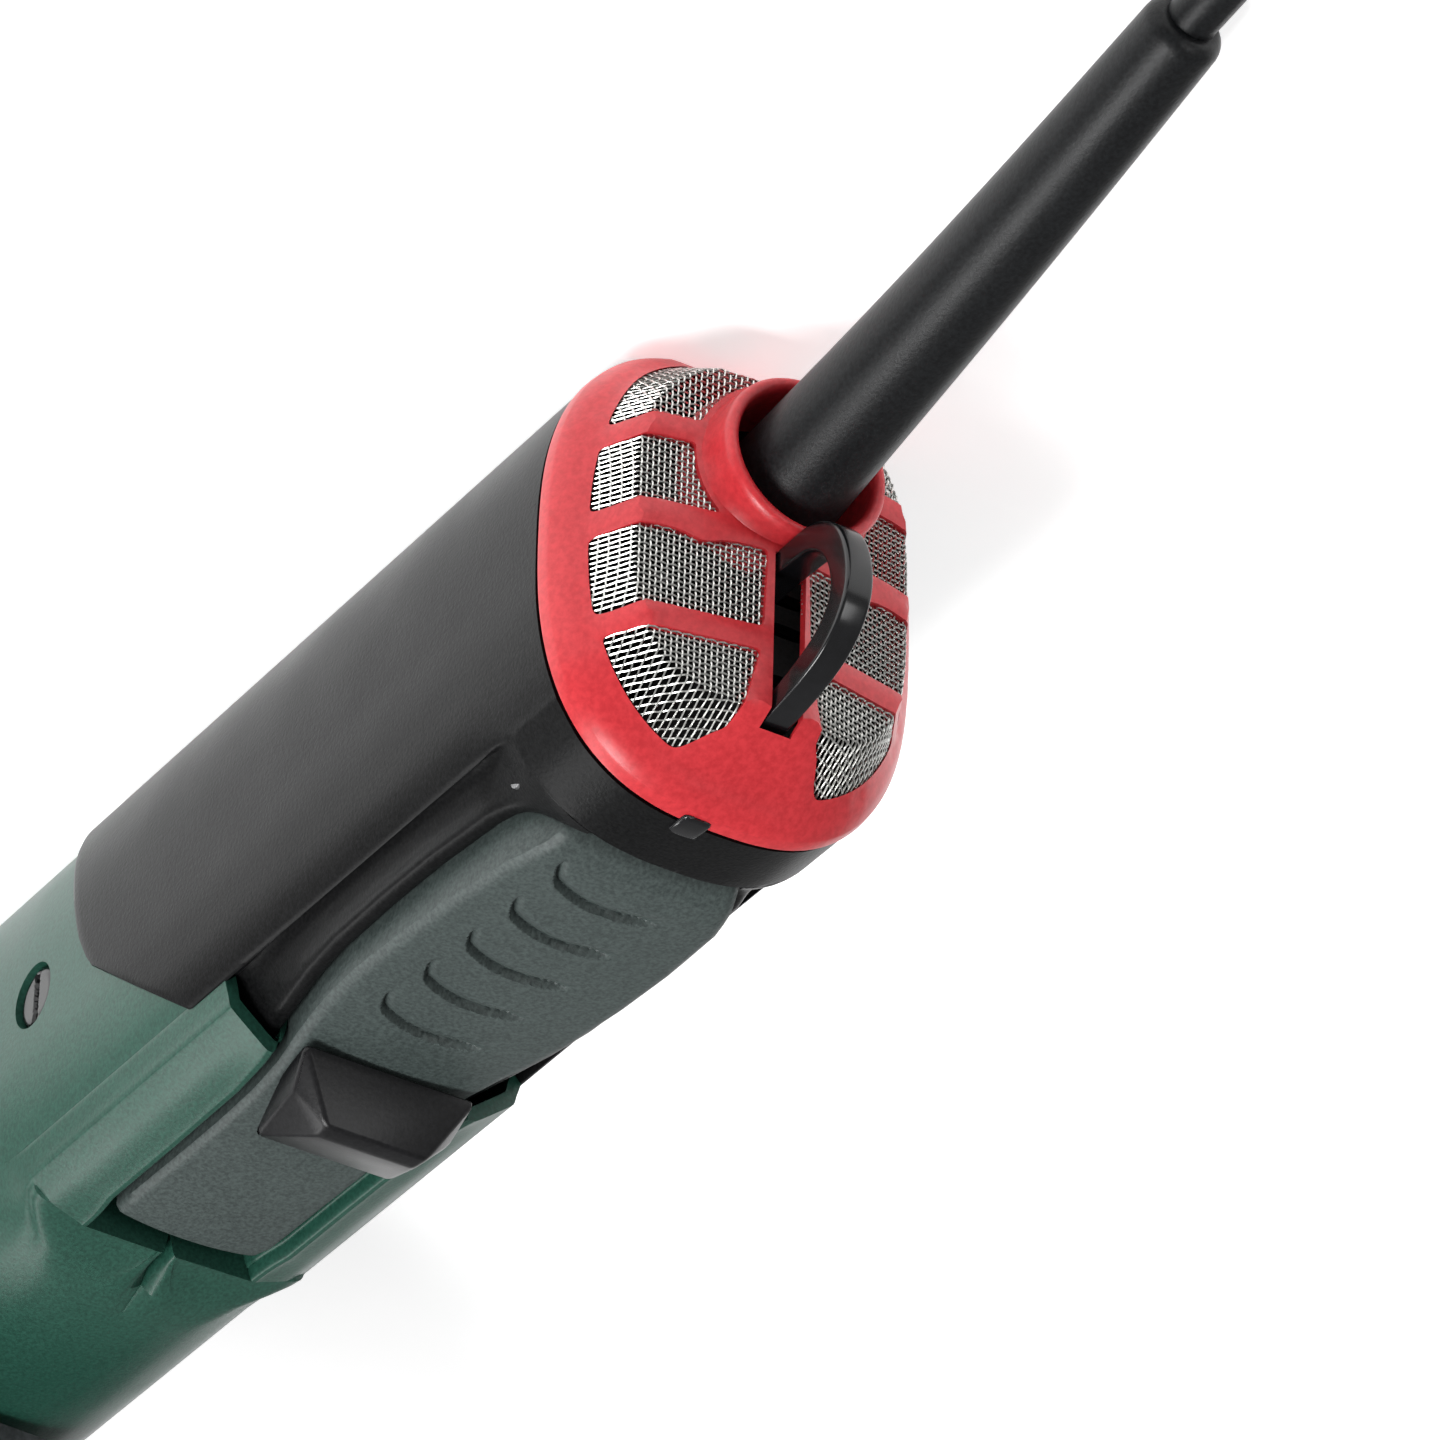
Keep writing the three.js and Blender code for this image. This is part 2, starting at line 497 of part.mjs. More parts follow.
function paddleAndLever() {
  const widest = PADDLE_GRIP_HALF + 1;
  const skin = alongY(outline([...paddleLow(0), ...paddleHigh]), -widest, widest);
  const roof = alongY(
    outline([
      [-PADDLE_REAR - 3, 38.5 - PADDLE_WALL], [LEVER_X, 36.5 - PADDLE_WALL],
      [LEVER_X - 32.5, 37.8 - PADDLE_WALL],
      [-PADDLE_FRONT + 3, 37.2 - PADDLE_WALL], [-PADDLE_FRONT + 3, 10], [-PADDLE_REAR - 3, 10],
    ]),
    -widest,
    widest,
  );
  const hollow = roof.intersect(alongZ(paddlePlan(-PADDLE_WALL), 0, 60));
  const whole = skin.intersect(alongZ(paddlePlan(0), 0, 60));
  const flat = alongY(outline([...paddleLow(2.5), ...paddleHigh]), -widest, widest);
  const rounded = join(whole.intersect(flat), whole.intersect(alongZ(paddlePlan(-2.5), 0, 60)));
  const grooves = Array.from({ length: GROOVES }, (_, i) => {
    const x = -GROOVE_FIRST - i * GROOVE_PITCH;
    const z = lowerAt(x);
    return alongY(outline([[x - 1.6, z + 1], [x, z - 1.4], [x + 1.6, z + 1]]), -10.5, 10.5);
  });
  const tongueSlot = box(LEVER_PIN_X - 8, LEVER_PIN_X + 8, -LEVER_TONGUE - 0.6, LEVER_TONGUE + 0.6, 30, 50);
  const bore = rod("y", PIVOT_RADIUS + RUNNING, -20, 20, PIVOT_X, PIVOT_Z);
  const pinHalf = PADDLE_FRONT_HALF - 0.5;
  const boreHalf = pinHalf + GAP;
  const leverBore = rod("y", LEVER_PIN_RADIUS + RUNNING, -boreHalf, boreHalf, LEVER_PIN_X, LEVER_PIN_Z, 16);
  const paddle = cut(rounded, hollow, ...grooves);
  piece("paddle", "paddle", cut(paddle, tongueSlot, bore, leverBore));
  piece("paddle_pin", "steel", rod("y", PIVOT_RADIUS, -24, 24, PIVOT_X, PIVOT_Z));

  const seat = 37.6 + GAP;
  const [rear, front] = [LEVER_X, LEVER_X - LEVER_LENGTH];
  const wedge = outline([
    [rear, seat], [rear - 4, seat + LEVER_HEIGHT], [rear - 7.5, seat + LEVER_HEIGHT],
    [front, seat + 6.2], [front, seat + 4.8], [LEVER_PIN_X + 3, seat],
  ]);
  const half = PADDLE_LEVER_HALF - 0.8;
  const high = seat + LEVER_HEIGHT;
  const taper = outline([
    [-half, 0], [half, 0], [half, seat + 5], [half - 7, high + 1], [7 - half, high + 1], [-half, seat + 5],
  ]);
  // The lever follows the paddle's plan, so it goes up into the pocket with the paddle.
  const bar = alongY(wedge, -half, half)
    .intersect(alongX(taper, front - 1, rear + 1))
    .intersect(alongZ(paddlePlan(-0.8), 20, 80));
  const tongue = cut(
    join(
      box(LEVER_PIN_X - 3.2, LEVER_PIN_X + 3.2, -LEVER_TONGUE, LEVER_TONGUE, LEVER_PIN_Z, seat + 4),
      rod("y", 3.2, -LEVER_TONGUE, LEVER_TONGUE, LEVER_PIN_X, LEVER_PIN_Z, 20),
    ),
    rod("y", LEVER_PIN_RADIUS + RUNNING, -10, 10, LEVER_PIN_X, LEVER_PIN_Z, 16),
  );
  piece("lock_lever", "plastic", join(bar, tongue));
  piece("lock_pin", "steel", rod("y", LEVER_PIN_RADIUS, -pinHalf, pinHalf, LEVER_PIN_X, LEVER_PIN_Z, 16));
  const [from, to] = [LEVER_TONGUE + 0.6, LEVER_TONGUE + 5];
  const coil = ring("y", LEVER_PIN_RADIUS + 0.5, 2.9, from, to, LEVER_PIN_X, LEVER_PIN_Z, 16);
  piece("lock_spring", "steel", coil);

  const springX = SWITCH_X + 25; // on the switch body's rear half
  piece("paddle_spring", "steel", spring(springX, 0, 18.3, lowerAt(springX) - PADDLE_WALL - 2.6, 5, 0.8, 4));

  const plungerTop = 35.2 - PADDLE_WALL - 0.6;
  piece("switch_plunger", "plastic", join(
    rod("z", 3, 12.6, plungerTop, SWITCH_X, 0, 20),
    rod("z", 4.4, 12.6, 14, SWITCH_X, 0, 20),
  ));
  const body = cut(
    box(SWITCH_X - 22, SWITCH_X + 34, -12, 12, -8, 18),
    rod("z", 3 + RUNNING + 0.1, 10, 30, SWITCH_X, 0, 20),
    rod("z", 4.7, 9, 16, SWITCH_X, 0, 20),
  );
  piece("switch_body", "plastic", body);
  piece("electronics_module", "plastic", box(LEVER_X - 30.5, LEVER_X - 2.5, -22, 22, -14, 16));
}

// ---- cord clamp: a block around the cord, held by two screws ----
function cordClamp() {
  const [rear, front] = [-14, -23];
  const middle = (rear + front) / 2;
  const z = COLLAR_Z + (26 - middle) * SLEEVE_DROP;
  const holes = [-10.5, 10.5].map((y) => rod("z", 2, z - 30, z + 30, middle, y, 16));
  const cordHole = rod("x", CORD_RADIUS + 1.4, front - 1, rear + 1, 0, z, 20);
  piece("cord_clamp", "plastic", cut(box(front, rear, -14.5, 14.5, z - 7, z + 7), cordHole, ...holes));
  for (const [name, y] of [["clamp_screw_left", 10.5], ["clamp_screw_right", -10.5]]) {
    const shank = rod("z", 1.8, z - 10, z + 7.5, middle, y, 16);
    piece(name, "steel", join(shank, rod("z", 3.4, z + 7 + GAP, z + 9.5, middle, y, 16)));
  }
}

// ---- motor housing and motor ----
function motorParts() {
  const body = join(
    cut(alongX(bodyOutline(0.8), MOTOR_FRONT, -60), behindEdge(GAP)),
    alongX(bodyOutline(SHELL_WALL + GAP), REAR_FRONT - EDGE_BACK - 2, MOTOR_REAR),
  );
  const pocketFront = -PADDLE_FRONT - 3;
  const pocket = alongZ(paddlePlan(PADDLE_SIDE_GAP), PADDLE_ROOM_Z, 60);
  const statorBay = rod("x", STATOR_RADIUS + GAP, MOTOR_FRONT + 6, pocketFront - 3, 0, 0, 20);
  const brushBay = rod("x", PADDLE_ROOM_Z - 2, pocketFront - 10, 0, 0, 0, 20);
  const front = rod("x", 26, MOTOR_FRONT - 1, MOTOR_FRONT + 10, 0, 0, 20);
  const brushPorts = rod("y", 5.6, -60, 60, BRUSH_X, 0, 20);
  const spare = box(REAR_FRONT + 1, 5, -20, 20, -30, 0);
  const slots = [-1, 1].flatMap((side) =>
    Array.from({ length: 4 }, (_, i) => {
      const x = MOTOR_FRONT + 14 + i * 8;
      return box(x, x + 3.5, Math.min(side * 28, side * 60), Math.max(side * 28, side * 60), -9, 9);
    }),
  );
  const housing = cut(body, pocket, statorBay, brushBay, front, brushPorts, spare, ...slots);
  piece("motor_housing", "green", housing);

  const statorFront = -STATOR_REAR - STATOR_LENGTH;
  const bore = rod("x", ROTOR_RADIUS + 0.8, statorFront - 1, -STATOR_REAR + 1, 0, 0, 20);
  piece("stator", "iron", cut(rod("x", STATOR_RADIUS, statorFront, -STATOR_REAR, 0, 0, 20), bore));

  const coreSlots = Array.from({ length: 12 }, (_, i) => {
    const angle = (2 * Math.PI * i) / 12;
    const [y, z] = [ROTOR_RADIUS * Math.cos(angle), ROTOR_RADIUS * Math.sin(angle)];
    return rod("x", 1.6, statorFront - 1, -STATOR_REAR + 1, y, z, 8);
  });
  const hole = (radius, from, to) => rod("x", radius, from - 1, to + 1, 0, 0, 20);
  const running = SHAFT_RADIUS + GAP;
  const core = rod("x", ROTOR_RADIUS, statorFront, -STATOR_REAR, 0, 0, 34);
  piece("armature_core", "iron", cut(core, hole(running, statorFront, -STATOR_REAR), ...coreSlots));
  piece("commutator", "bronze", ring("x", running, COMMUTATOR_RADIUS, BRUSH_X - 10, BRUSH_X + 9, 0, 0, 20));
  const bearingRear = [REAR_FRONT - 3, REAR_FRONT - 3 + BEARING_WIDTH];
  piece("motor_bearing_rear", "steel", ring("x", running, 11, ...bearingRear, 0, 0, 20));
  const fanFront = MOTOR_FRONT + 13;
  const blades = Array.from({ length: 9 }, (_, i) => {
    const blade = box(fanFront, fanFront + 9, 8, 24, -0.7, 0.7);
    return blade.rotate([(360 * i) / 9, 0, 0]);
  });
  const plate = ring("x", running, 24.5, fanFront, fanFront + 1.6, 0, 0, 26);
  const hub = ring("x", running, 9, fanFront, fanFront + 9, 0, 0, 20);
  piece("fan", "plastic", join(plate, hub, ...blades));
  const bearingFront = [MOTOR_FRONT - 8 - BEARING_WIDTH, MOTOR_FRONT - 8];
  piece("motor_bearing_front", "steel", ring("x", running, 13, ...bearingFront, 0, 0, 20));
  const shaftFront = SPINDLE_X + 10;
  piece("armature_shaft", "steel", rod("x", SHAFT_RADIUS, shaftFront, bearingRear[1] + 4, 0, 0, 20));

  for (const [end, side] of [["left", 1], ["right", -1]]) {
    const span = (from, to) => [Math.min(side * from, side * to), Math.max(side * from, side * to)];
    const reach = [COMMUTATOR_RADIUS + 0.5, COMMUTATOR_RADIUS + 12];
    const [b0, b1] = span(...reach);
    piece("carbon_brush_" + end, "carbon", box(BRUSH_X - 3.5, BRUSH_X + 3.5, b0, b1, -3, 3));
    const [h0, h1] = span(reach[0] + 3, reach[1] + 1.5);
    const [c0, c1] = span(reach[0], reach[1] + GAP);
    const way = box(BRUSH_X - 3.8, BRUSH_X + 3.8, c0, c1, -3.3, 3.3);
    const holder = cut(rod("y", 5.3, h0, h1, BRUSH_X, 0, 20), way);
    piece("brush_holder_" + end, "bronze", holder);
  }
}

// A toothed outline: teeth equal trapezoids on a rim.
function toothed(teeth, rim, tip) {
  const points = [];
  for (let i = 0; i < teeth; i++) {
    for (const [share, radius] of [[0, rim], [0.3, rim], [0.42, tip], [0.78, tip], [0.9, rim]]) {
      const angle = (2 * Math.PI * (i + share)) / teeth;
      points.push([radius * Math.cos(angle), radius * Math.sin(angle)]);
    }
  }
  return outline(points);
}

// ---- gear head ----
function headParts() {
  const rear = MOTOR_FRONT - GAP;
  const tower = disc(HEAD_RADIUS, 34);
  const reach = rear - 6 - SPINDLE_X;
  const bridge = outline([[0, -HEAD_RADIUS + 1], [reach, -30], [reach, 30], [0, HEAD_RADIUS - 1]]);
  const flange = alongX(bodyOutline(0), rear - 8, rear);
  const bulk = join(
    alongZ(tower, -BODY_FLAT, HEAD_BOTTOM).translate([SPINDLE_X, 0, 0]),
    alongZ(bridge, -BODY_FLAT, HEAD_BOTTOM).translate([SPINDLE_X, 0, 0]),
  );
  const boss = rod("y", 13, 10, HEAD_RADIUS + 3, HANDLE_X, HANDLE_Z, 20);
  const studHole = rod("y", 4 + GAP, HEAD_RADIUS - 8, 60, HANDLE_X, HANDLE_Z, 20);
  const gearRoom = rod("z", HEAD_RADIUS - HEAD_WALL, -6, 60, SPINDLE_X, 0, 20);
  const seat = rod("z", 11 + GAP, -24, 0, SPINDLE_X, 0, 20);
  const shaftWay = rod("x", 13 + GAP, rear - 8 - BEARING_WIDTH - GAP, rear + 1, 0, 0, 20);
  const pinionWay = rod("x", PINION_RADIUS + 2.5, SPINDLE_X, rear, 0, 0, 20);
  const airWay = ring("x", 16, 24, rear - 4, rear + 1, 0, 0, 26);
  const lockX = SPINDLE_X - LOCK_RADIUS;
  const lockWay = [rod("z", 2.8, -60, 0, lockX, 0, 20), rod("z", 8.3, -60, -BODY_FLAT + 12, lockX, 0, 20)];
  const screwSpots = [45, 135, 225, 315].map((angle) => {
    const radius = HEAD_RADIUS - 4.6;
    const turn = (angle * Math.PI) / 180;
    return [SPINDLE_X + radius * Math.cos(turn), radius * Math.sin(turn)];
  });
  const screwHoles = screwSpots.map(([x, y]) => rod("z", 2, HEAD_BOTTOM - 14, 60, x, y, 12));
  const posts = screwSpots.map(([x, y]) => rod("z", 4.6, -6, HEAD_BOTTOM, x, y, 16));
  const hollow = cut(gearRoom, ...posts);
  const ways = [seat, shaftWay, pinionWay, airWay, studHole, ...lockWay, ...screwHoles];
  piece("gear_housing", "alloy", cut(join(bulk, flange, boss), hollow, ...ways));

  const cover = cut(
    join(
      rod("z", HEAD_RADIUS, HEAD_BOTTOM + GAP, COVER_TOP, SPINDLE_X, 0, 34),
      rod("z", NECK_RADIUS, HEAD_BOTTOM + GAP, NECK_TOP, SPINDLE_X, 0, 32),
    ),
    rod("z", 17.5 + GAP, 0, HEAD_BOTTOM + 9, SPINDLE_X, 0, 26),
    rod("z", SPINDLE_RADIUS + 1, 0, 90, SPINDLE_X, 0, 20),
    ...screwSpots.map(([x, y]) => rod("z", 2.2, 0, 90, x, y, 12)),
  );
  piece("bearing_cover", "alloy", cover);
  screwSpots.forEach(([x, y], i) => {
    const shank = rod("z", 1.7, HEAD_BOTTOM - 12, COVER_TOP + 1, x, y, 12);
    const head = rod("z", 3.3, COVER_TOP + GAP, COVER_TOP + SCREW_HEAD, x, y, 16);
    piece("cover_screw_" + (i + 1), "steel", join(shank, head));
  });

  const bearingTop = HEAD_BOTTOM + 8.5;
  const bearing = (outer, from, to) => ring("z", SPINDLE_RADIUS + GAP, outer, from, to, SPINDLE_X, 0, 24);
  piece("spindle_bearing_lower", "steel", bearing(17.5, bearingTop - 10, bearingTop));
  piece("spindle_bearing_upper", "steel", bearing(11, -23.5, -12));
  piece("spindle", "steel", rod("z", SPINDLE_RADIUS, -22, DISC_TOP + 9, SPINDLE_X, 0, 20));
  const gearTop = GEAR_Z + GEAR_THICKNESS;
  const lockHoles = [0, 90, 180, 270].map((angle) =>
    rod("z", 3, 0, GEAR_Z + 5, LOCK_RADIUS, 0, 14).rotate([0, 0, angle]).translate([SPINDLE_X, 0, 0]),
  );
  const teeth = Array.from({ length: GEAR_TEETH }, (_, i) =>
    box(GEAR_RADIUS - 7, GEAR_RADIUS, -0.75, 0.75, GEAR_Z - 1, GEAR_Z + 1)
      .rotate([0, 0, ((i + 0.5) * 360) / GEAR_TEETH])
      .translate([SPINDLE_X, 0, 0]),
  );
  const gear = join(
    ring("z", SPINDLE_RADIUS + GAP, GEAR_RADIUS, GEAR_Z, gearTop, SPINDLE_X, 0, 26),
    ...teeth,
  );
  piece("ring_gear", "steel", cut(gear, ...lockHoles));
  const toothedBar = toothed(PINION_TEETH, PINION_RADIUS - 1.4, PINION_RADIUS);
  const pinion = alongX(toothedBar, SPINDLE_X + 13, SPINDLE_X + 26);
  piece("pinion", "steel", cut(pinion, rod("x", SHAFT_RADIUS + GAP, -400, 0)));

  const stem = rod("z", 2.5, -BODY_FLAT + 2, GEAR_Z - 1.6, lockX, 0, 20);
  const cap = rod("z", 7.8, -BODY_FLAT + 1, -BODY_FLAT + 5, lockX, 0, 24);
  piece("spindle_lock_button", "plastic", join(stem, cap));
  const [springLow, springHigh] = [-BODY_FLAT + 5.2, -BODY_FLAT + 11.8];
  piece("spindle_lock_spring", "steel", spring(lockX, 0, springLow, springHigh, 4.4, 0.6, 4));

  const inner = SPINDLE_RADIUS + GAP;
  const flangeRing = [
    [inner, NECK_TOP + 1], [16, NECK_TOP + 1], [20, FLANGE_TOP - 1.5], [20, FLANGE_TOP - GAP],
    [inner, FLANGE_TOP - GAP], [inner, NECK_TOP + 1],
  ];
  piece("backing_flange", "steel", turned("z", flangeRing, SPINDLE_X, 0, 26));
  const wheel = ring("z", 11, DISC_RADIUS, FLANGE_TOP, DISC_TOP, SPINDLE_X, 0, 44);
  piece("grinding_disc", "abrasive", wheel);
  const nutHoles = [0, 90, 180, 270].map((angle) =>
    rod("z", 2.2, DISC_TOP + 2, 90, 14, 0, 12).rotate([0, 0, angle]).translate([SPINDLE_X, 0, 0]),
  );
  const nut = ring("z", SPINDLE_RADIUS + GAP, 20, DISC_TOP + GAP, DISC_TOP + 6, SPINDLE_X, 0, 26);
  piece("clamping_nut", "steel", cut(nut, ...nutHoles));
}

// ---- wheel guard with its clamp lever, and the side handle ----
function guardAndHandle() {
  const plateTop = NECK_TOP - 1;
  const plateBottom = plateTop - GUARD_WALL;
  const open = 200;
  const clip = outline([[-open, -open], [-22, -open], [-22, open], [-open, open]]);
  const hood = cut(
    join(
      ring("z", NECK_RADIUS + GAP, GUARD_RADIUS, plateBottom, plateTop, 0, 0, 48),
      ring("z", GUARD_RADIUS - GUARD_WALL, GUARD_RADIUS, plateBottom, plateTop + GUARD_DEPTH, 0, 0, 48),
    ),
    cut(alongZ(clip, 0, 90), rod("z", 30, 0, 90, 0, 0, 32)),
  );
  const band = ring("z", NECK_RADIUS + GAP, NECK_RADIUS + 3, COVER_TOP + 3.2, plateTop, 0, 0, 32);
  const lugs = box(-3.5, 3.5, -NECK_RADIUS - 12, -NECK_RADIUS - 1.5, COVER_TOP + 3.2, plateTop);
  const lugSlot = box(-1.5, 1.5, -60, -NECK_RADIUS + 0.5, COVER_TOP, plateBottom);
  const guard = cut(join(hood, band, lugs), lugSlot);
  piece("wheel_guard", "iron", guard.translate([SPINDLE_X, 0, 0]));
  // The clamp lever turns in the gap between the cover's screw heads and the guard's plate.
  const [leverLow, leverHigh] = [COVER_TOP + SCREW_HEAD + 2 * GAP, plateBottom - GAP];
  const arm = alongZ(outline([[0, -4.4], [0, 3], [-12, 1.5], [-12, -3]]), leverLow, leverHigh);
  const eye = rod("z", LEVER_EYE, leverLow, leverHigh, 0, 0, 20);
  const clamp = join(arm, eye).translate([SPINDLE_X - LEVER_EYE - 4, -NECK_RADIUS - 10, 0]);
  piece("guard_lever", "steel", clamp);

  const start = HEAD_RADIUS + 3 + GAP;
  const stud = rod("y", 4, HEAD_RADIUS - 7, start + 18, HANDLE_X, HANDLE_Z, 20);
  piece("side_handle_stud", "steel", stud);
  const r = HANDLE_RADIUS;
  const [end, bore] = [HANDLE_LENGTH, 4 + GAP];
  const profile = [
    [bore, 0], [r - 3, 0], [r + 5, 5], [r + 5, 8], [r - 4, 16], [r, 50], [r, 80], [r - 3, end - 12],
    [r + 2, end - 6], [r - 4, end], [0, end], [0, 18 + GAP], [bore, 18 + GAP], [bore, 0],
  ].map(([radius, along]) => [radius, start + along]);
  piece("side_handle_grip", "rubber", turned("y", profile, HANDLE_X, HANDLE_Z, 24));
}

rearHousing();
filterCap();
cordParts();
paddleAndLever();
cordClamp();
motorParts();
headParts();
guardAndHandle();

// ---- stand the tool on the origin: base centre of everything but the free cord ----
const ON_CORD = [
  "cord_sleeve", "cord", "cord_tail", "cord_coil", "coil_tie", "plug_body", "plug_pin_left", "plug_pin_right",
];
const extent = new THREE.Box3();
for (const mesh of object.children) {
  if (!ON_CORD.includes(mesh.name)) extent.expandByObject(mesh);
}
const centre = extent.getCenter(new THREE.Vector3());
object.position.set(-centre.x, -centre.y, -extent.min.z);

export default object;
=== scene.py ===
# %% [markdown]
# # A paddle-switch angle grinder, seen from its cord end
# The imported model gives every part's place and every joint. This lesson gives the parts their looks: it
# replaces the plain shells, paddle, filter and cord with finer surfaces worked out in numpy, and it gives the
# remaining machined pieces their finishes. Nothing that the frame holds is moved.

# %% Load the frame
import bpy
import numpy as np
from mathutils import Matrix, Vector


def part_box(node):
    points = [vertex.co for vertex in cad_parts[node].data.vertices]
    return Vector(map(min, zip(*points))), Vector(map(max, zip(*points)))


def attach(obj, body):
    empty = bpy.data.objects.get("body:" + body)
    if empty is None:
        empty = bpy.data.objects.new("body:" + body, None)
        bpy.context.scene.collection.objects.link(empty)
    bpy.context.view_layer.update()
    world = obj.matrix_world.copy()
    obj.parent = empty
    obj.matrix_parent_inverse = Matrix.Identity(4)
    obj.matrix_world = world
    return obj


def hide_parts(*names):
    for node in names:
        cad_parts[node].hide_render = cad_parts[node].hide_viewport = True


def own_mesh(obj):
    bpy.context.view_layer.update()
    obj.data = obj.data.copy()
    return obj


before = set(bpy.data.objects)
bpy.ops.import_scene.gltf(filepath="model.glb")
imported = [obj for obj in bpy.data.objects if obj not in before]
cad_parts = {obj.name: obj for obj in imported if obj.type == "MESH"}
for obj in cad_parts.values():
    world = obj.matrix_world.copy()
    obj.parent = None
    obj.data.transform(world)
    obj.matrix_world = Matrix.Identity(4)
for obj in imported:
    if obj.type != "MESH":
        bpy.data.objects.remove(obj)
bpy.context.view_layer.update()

MM = 0.001

# %% [markdown]
# ## The tool's own axes
# Every length below is measured from one point: the middle of the housing's rear face. X runs to the cord,
# Y to the tool's left, Z to the paddle. The motor shaft lies on the body's axis, so its box gives Y and Z, and
# the rear shells end at the rear face, so theirs gives X.

# %% Find the rear face's middle
shaft_low, shaft_high = (np.array(corner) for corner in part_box("armature_shaft"))
REAR = (shaft_low + shaft_high) / 2
REAR[0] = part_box("rear_shell_left")[1][0]
REAR[1] = (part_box("rear_shell_left")[1][1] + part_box("rear_shell_right")[0][1]) / 2
print("rear face middle", REAR.round(4))


def placed(points):
    """Points in millimetres from the rear face's middle, as metres in the row frame."""
    return REAR + np.asarray(points, float) * MM


# %% [markdown]
# ## The camera
# A long lens looks down on the rear end from behind and from the tool's left. A long lens keeps the body's
# edges nearly parallel. The camera's three directions are written as unit vectors, so the roll is set too:
# the tool lies on its back, and the view is turned until the tool's back faces up in it.

# %% Place the camera
LENS_MM = 250.0
SENSOR_MM = 36.0
VIEW_WIDTH = 0.2286
AIM_RIGHT, AIM_UP = 0.3, -17.8
rearward = np.array([0.5389, 0.4519, 0.7109])
toolwards_up = np.array([0.0217, 0.8362, -0.5480])
across = np.cross(toolwards_up, rearward)
basis = np.stack([rearward, -across, -toolwards_up])  # row axes, in camera coordinates
right, up, back = basis.T
distance = VIEW_WIDTH * LENS_MM / SENSOR_MM
aim = placed([0, 0, 0]) + (AIM_RIGHT * right + AIM_UP * up) * MM
camera = bpy.data.objects.new("camera", bpy.data.cameras.new("camera"))
camera.data.lens = LENS_MM
camera.data.sensor_width = SENSOR_MM
camera.data.clip_end = 100
camera.matrix_world = Matrix.Translation(Vector(aim + back * distance)) @ Matrix(
    np.stack([right, up, back], axis=1).tolist()
).to_4x4()
bpy.context.scene.collection.objects.link(camera)
bpy.context.scene.camera = camera
print("camera at", (aim + back * distance).round(3))

# %% [markdown]
# ## Surfaces from rows of points
# Most pieces here are skins: a shape worked out as rows of points, each row a closed loop round the piece, and
# quads between neighbouring rows. One helper turns such an array into a mesh. It closes both ends, measures
# the enclosed volume, and turns the faces round if the volume comes out negative, so they always face outwards.

# %% Helpers for skins
def link_mesh(name, points, faces, material=None, angle=40):
    """A mesh object from points in metres and a list or array of faces, smooth except at sharp edges."""
    mesh = bpy.data.meshes.new(name)
    mesh.from_pydata(np.asarray(points, float).tolist(), [], [list(map(int, f)) for f in faces])
    mesh.update()
    mesh.polygons.foreach_set("use_smooth", np.ones(len(mesh.polygons), bool))
    mesh.set_sharp_from_angle(angle=np.radians(angle))
    piece = bpy.data.objects.new(name, mesh)
    bpy.context.scene.collection.objects.link(piece)
    if material:
        mesh.materials.append(material)
    return piece


def facing_out(points, faces):
    """The faces, all reversed if the volume that they enclose, the sum of a.(b x c)/6, is negative."""
    fans = [(f[0], f[i], f[i + 1]) for f in faces for i in range(1, len(f) - 1)]
    a, b, c = (points[np.array(corner)] for corner in zip(*fans))
    volume = np.einsum("ij,ij->i", a, np.cross(b, c)).sum() / 6
    return [f[::-1] for f in faces] if volume < 0 else faces


def skin_faces(rows, columns, ring=False, start=0):
    """Quads on a grid of closed loops: row i's point j meets row i+1's. ring joins the last row to row one."""
    i = np.arange(rows if ring else rows - 1)[:, None]
    j = np.arange(columns)[None, :]
    k, m = (i + 1) % rows, (j + 1) % columns
    quads = np.stack([i * columns + j, i * columns + m, k * columns + m, k * columns + j], axis=-1)
    return (quads.reshape(-1, 4) + start).tolist()


def skin(name, rows, material=None, ring=False, angle=40):
    """A closed skin through rows of loops, with a fan of triangles closing each end unless it is a ring."""
    rows = np.asarray(rows, float)
    count, columns, _ = rows.shape
    points = rows.reshape(-1, 3)
    faces = skin_faces(count, columns, ring)
    if not ring:
        ends = np.stack([rows[0].mean(0), rows[-1].mean(0)])
        points = np.vstack([points, ends])
        j = np.arange(columns)
        m = (j + 1) % columns
        low, high = count * columns, count * columns + 1
        last = (count - 1) * columns
        faces += np.stack([m, j, np.full(columns, low)], axis=1).tolist()
        faces += np.stack([last + j, last + m, np.full(columns, high)], axis=1).tolist()
    return link_mesh(name, points, facing_out(points, faces), material, angle)


def smoothstep(low, high, x):
    """0 below low, 1 above high, and 3t^2 - 2t^3 between them."""
    t = np.clip((x - low) / (high - low), 0, 1)
    return t * t * (3 - 2 * t)


def along(path, steps=None, spacing=None):
    """Points at equal distances along a smooth Catmull-Rom curve through the given points."""
    path = np.asarray(path, float)
    padded = np.vstack([2 * path[0] - path[1], path, 2 * path[-1] - path[-2]])
    t = np.linspace(0, 1, 24, endpoint=False)[:, None]
    parts = []
    for a, b, c, d in zip(padded, padded[1:], padded[2:], padded[3:]):
        curve = 2 * b + (c - a) * t + (2 * a - 5 * b + 4 * c - d) * t**2 + (3 * b - a - 3 * c + d) * t**3
        parts.append(curve / 2)
    fine = np.vstack([*parts, path[-1:]])
    far = np.concatenate([[0], np.cumsum(np.linalg.norm(np.diff(fine, axis=0), axis=1))])
    steps = steps or max(2, int(far[-1] / spacing) + 1)
    marks = np.linspace(0, far[-1], steps)
    return np.stack([np.interp(marks, far, fine[:, k]) for k in range(3)], axis=1)


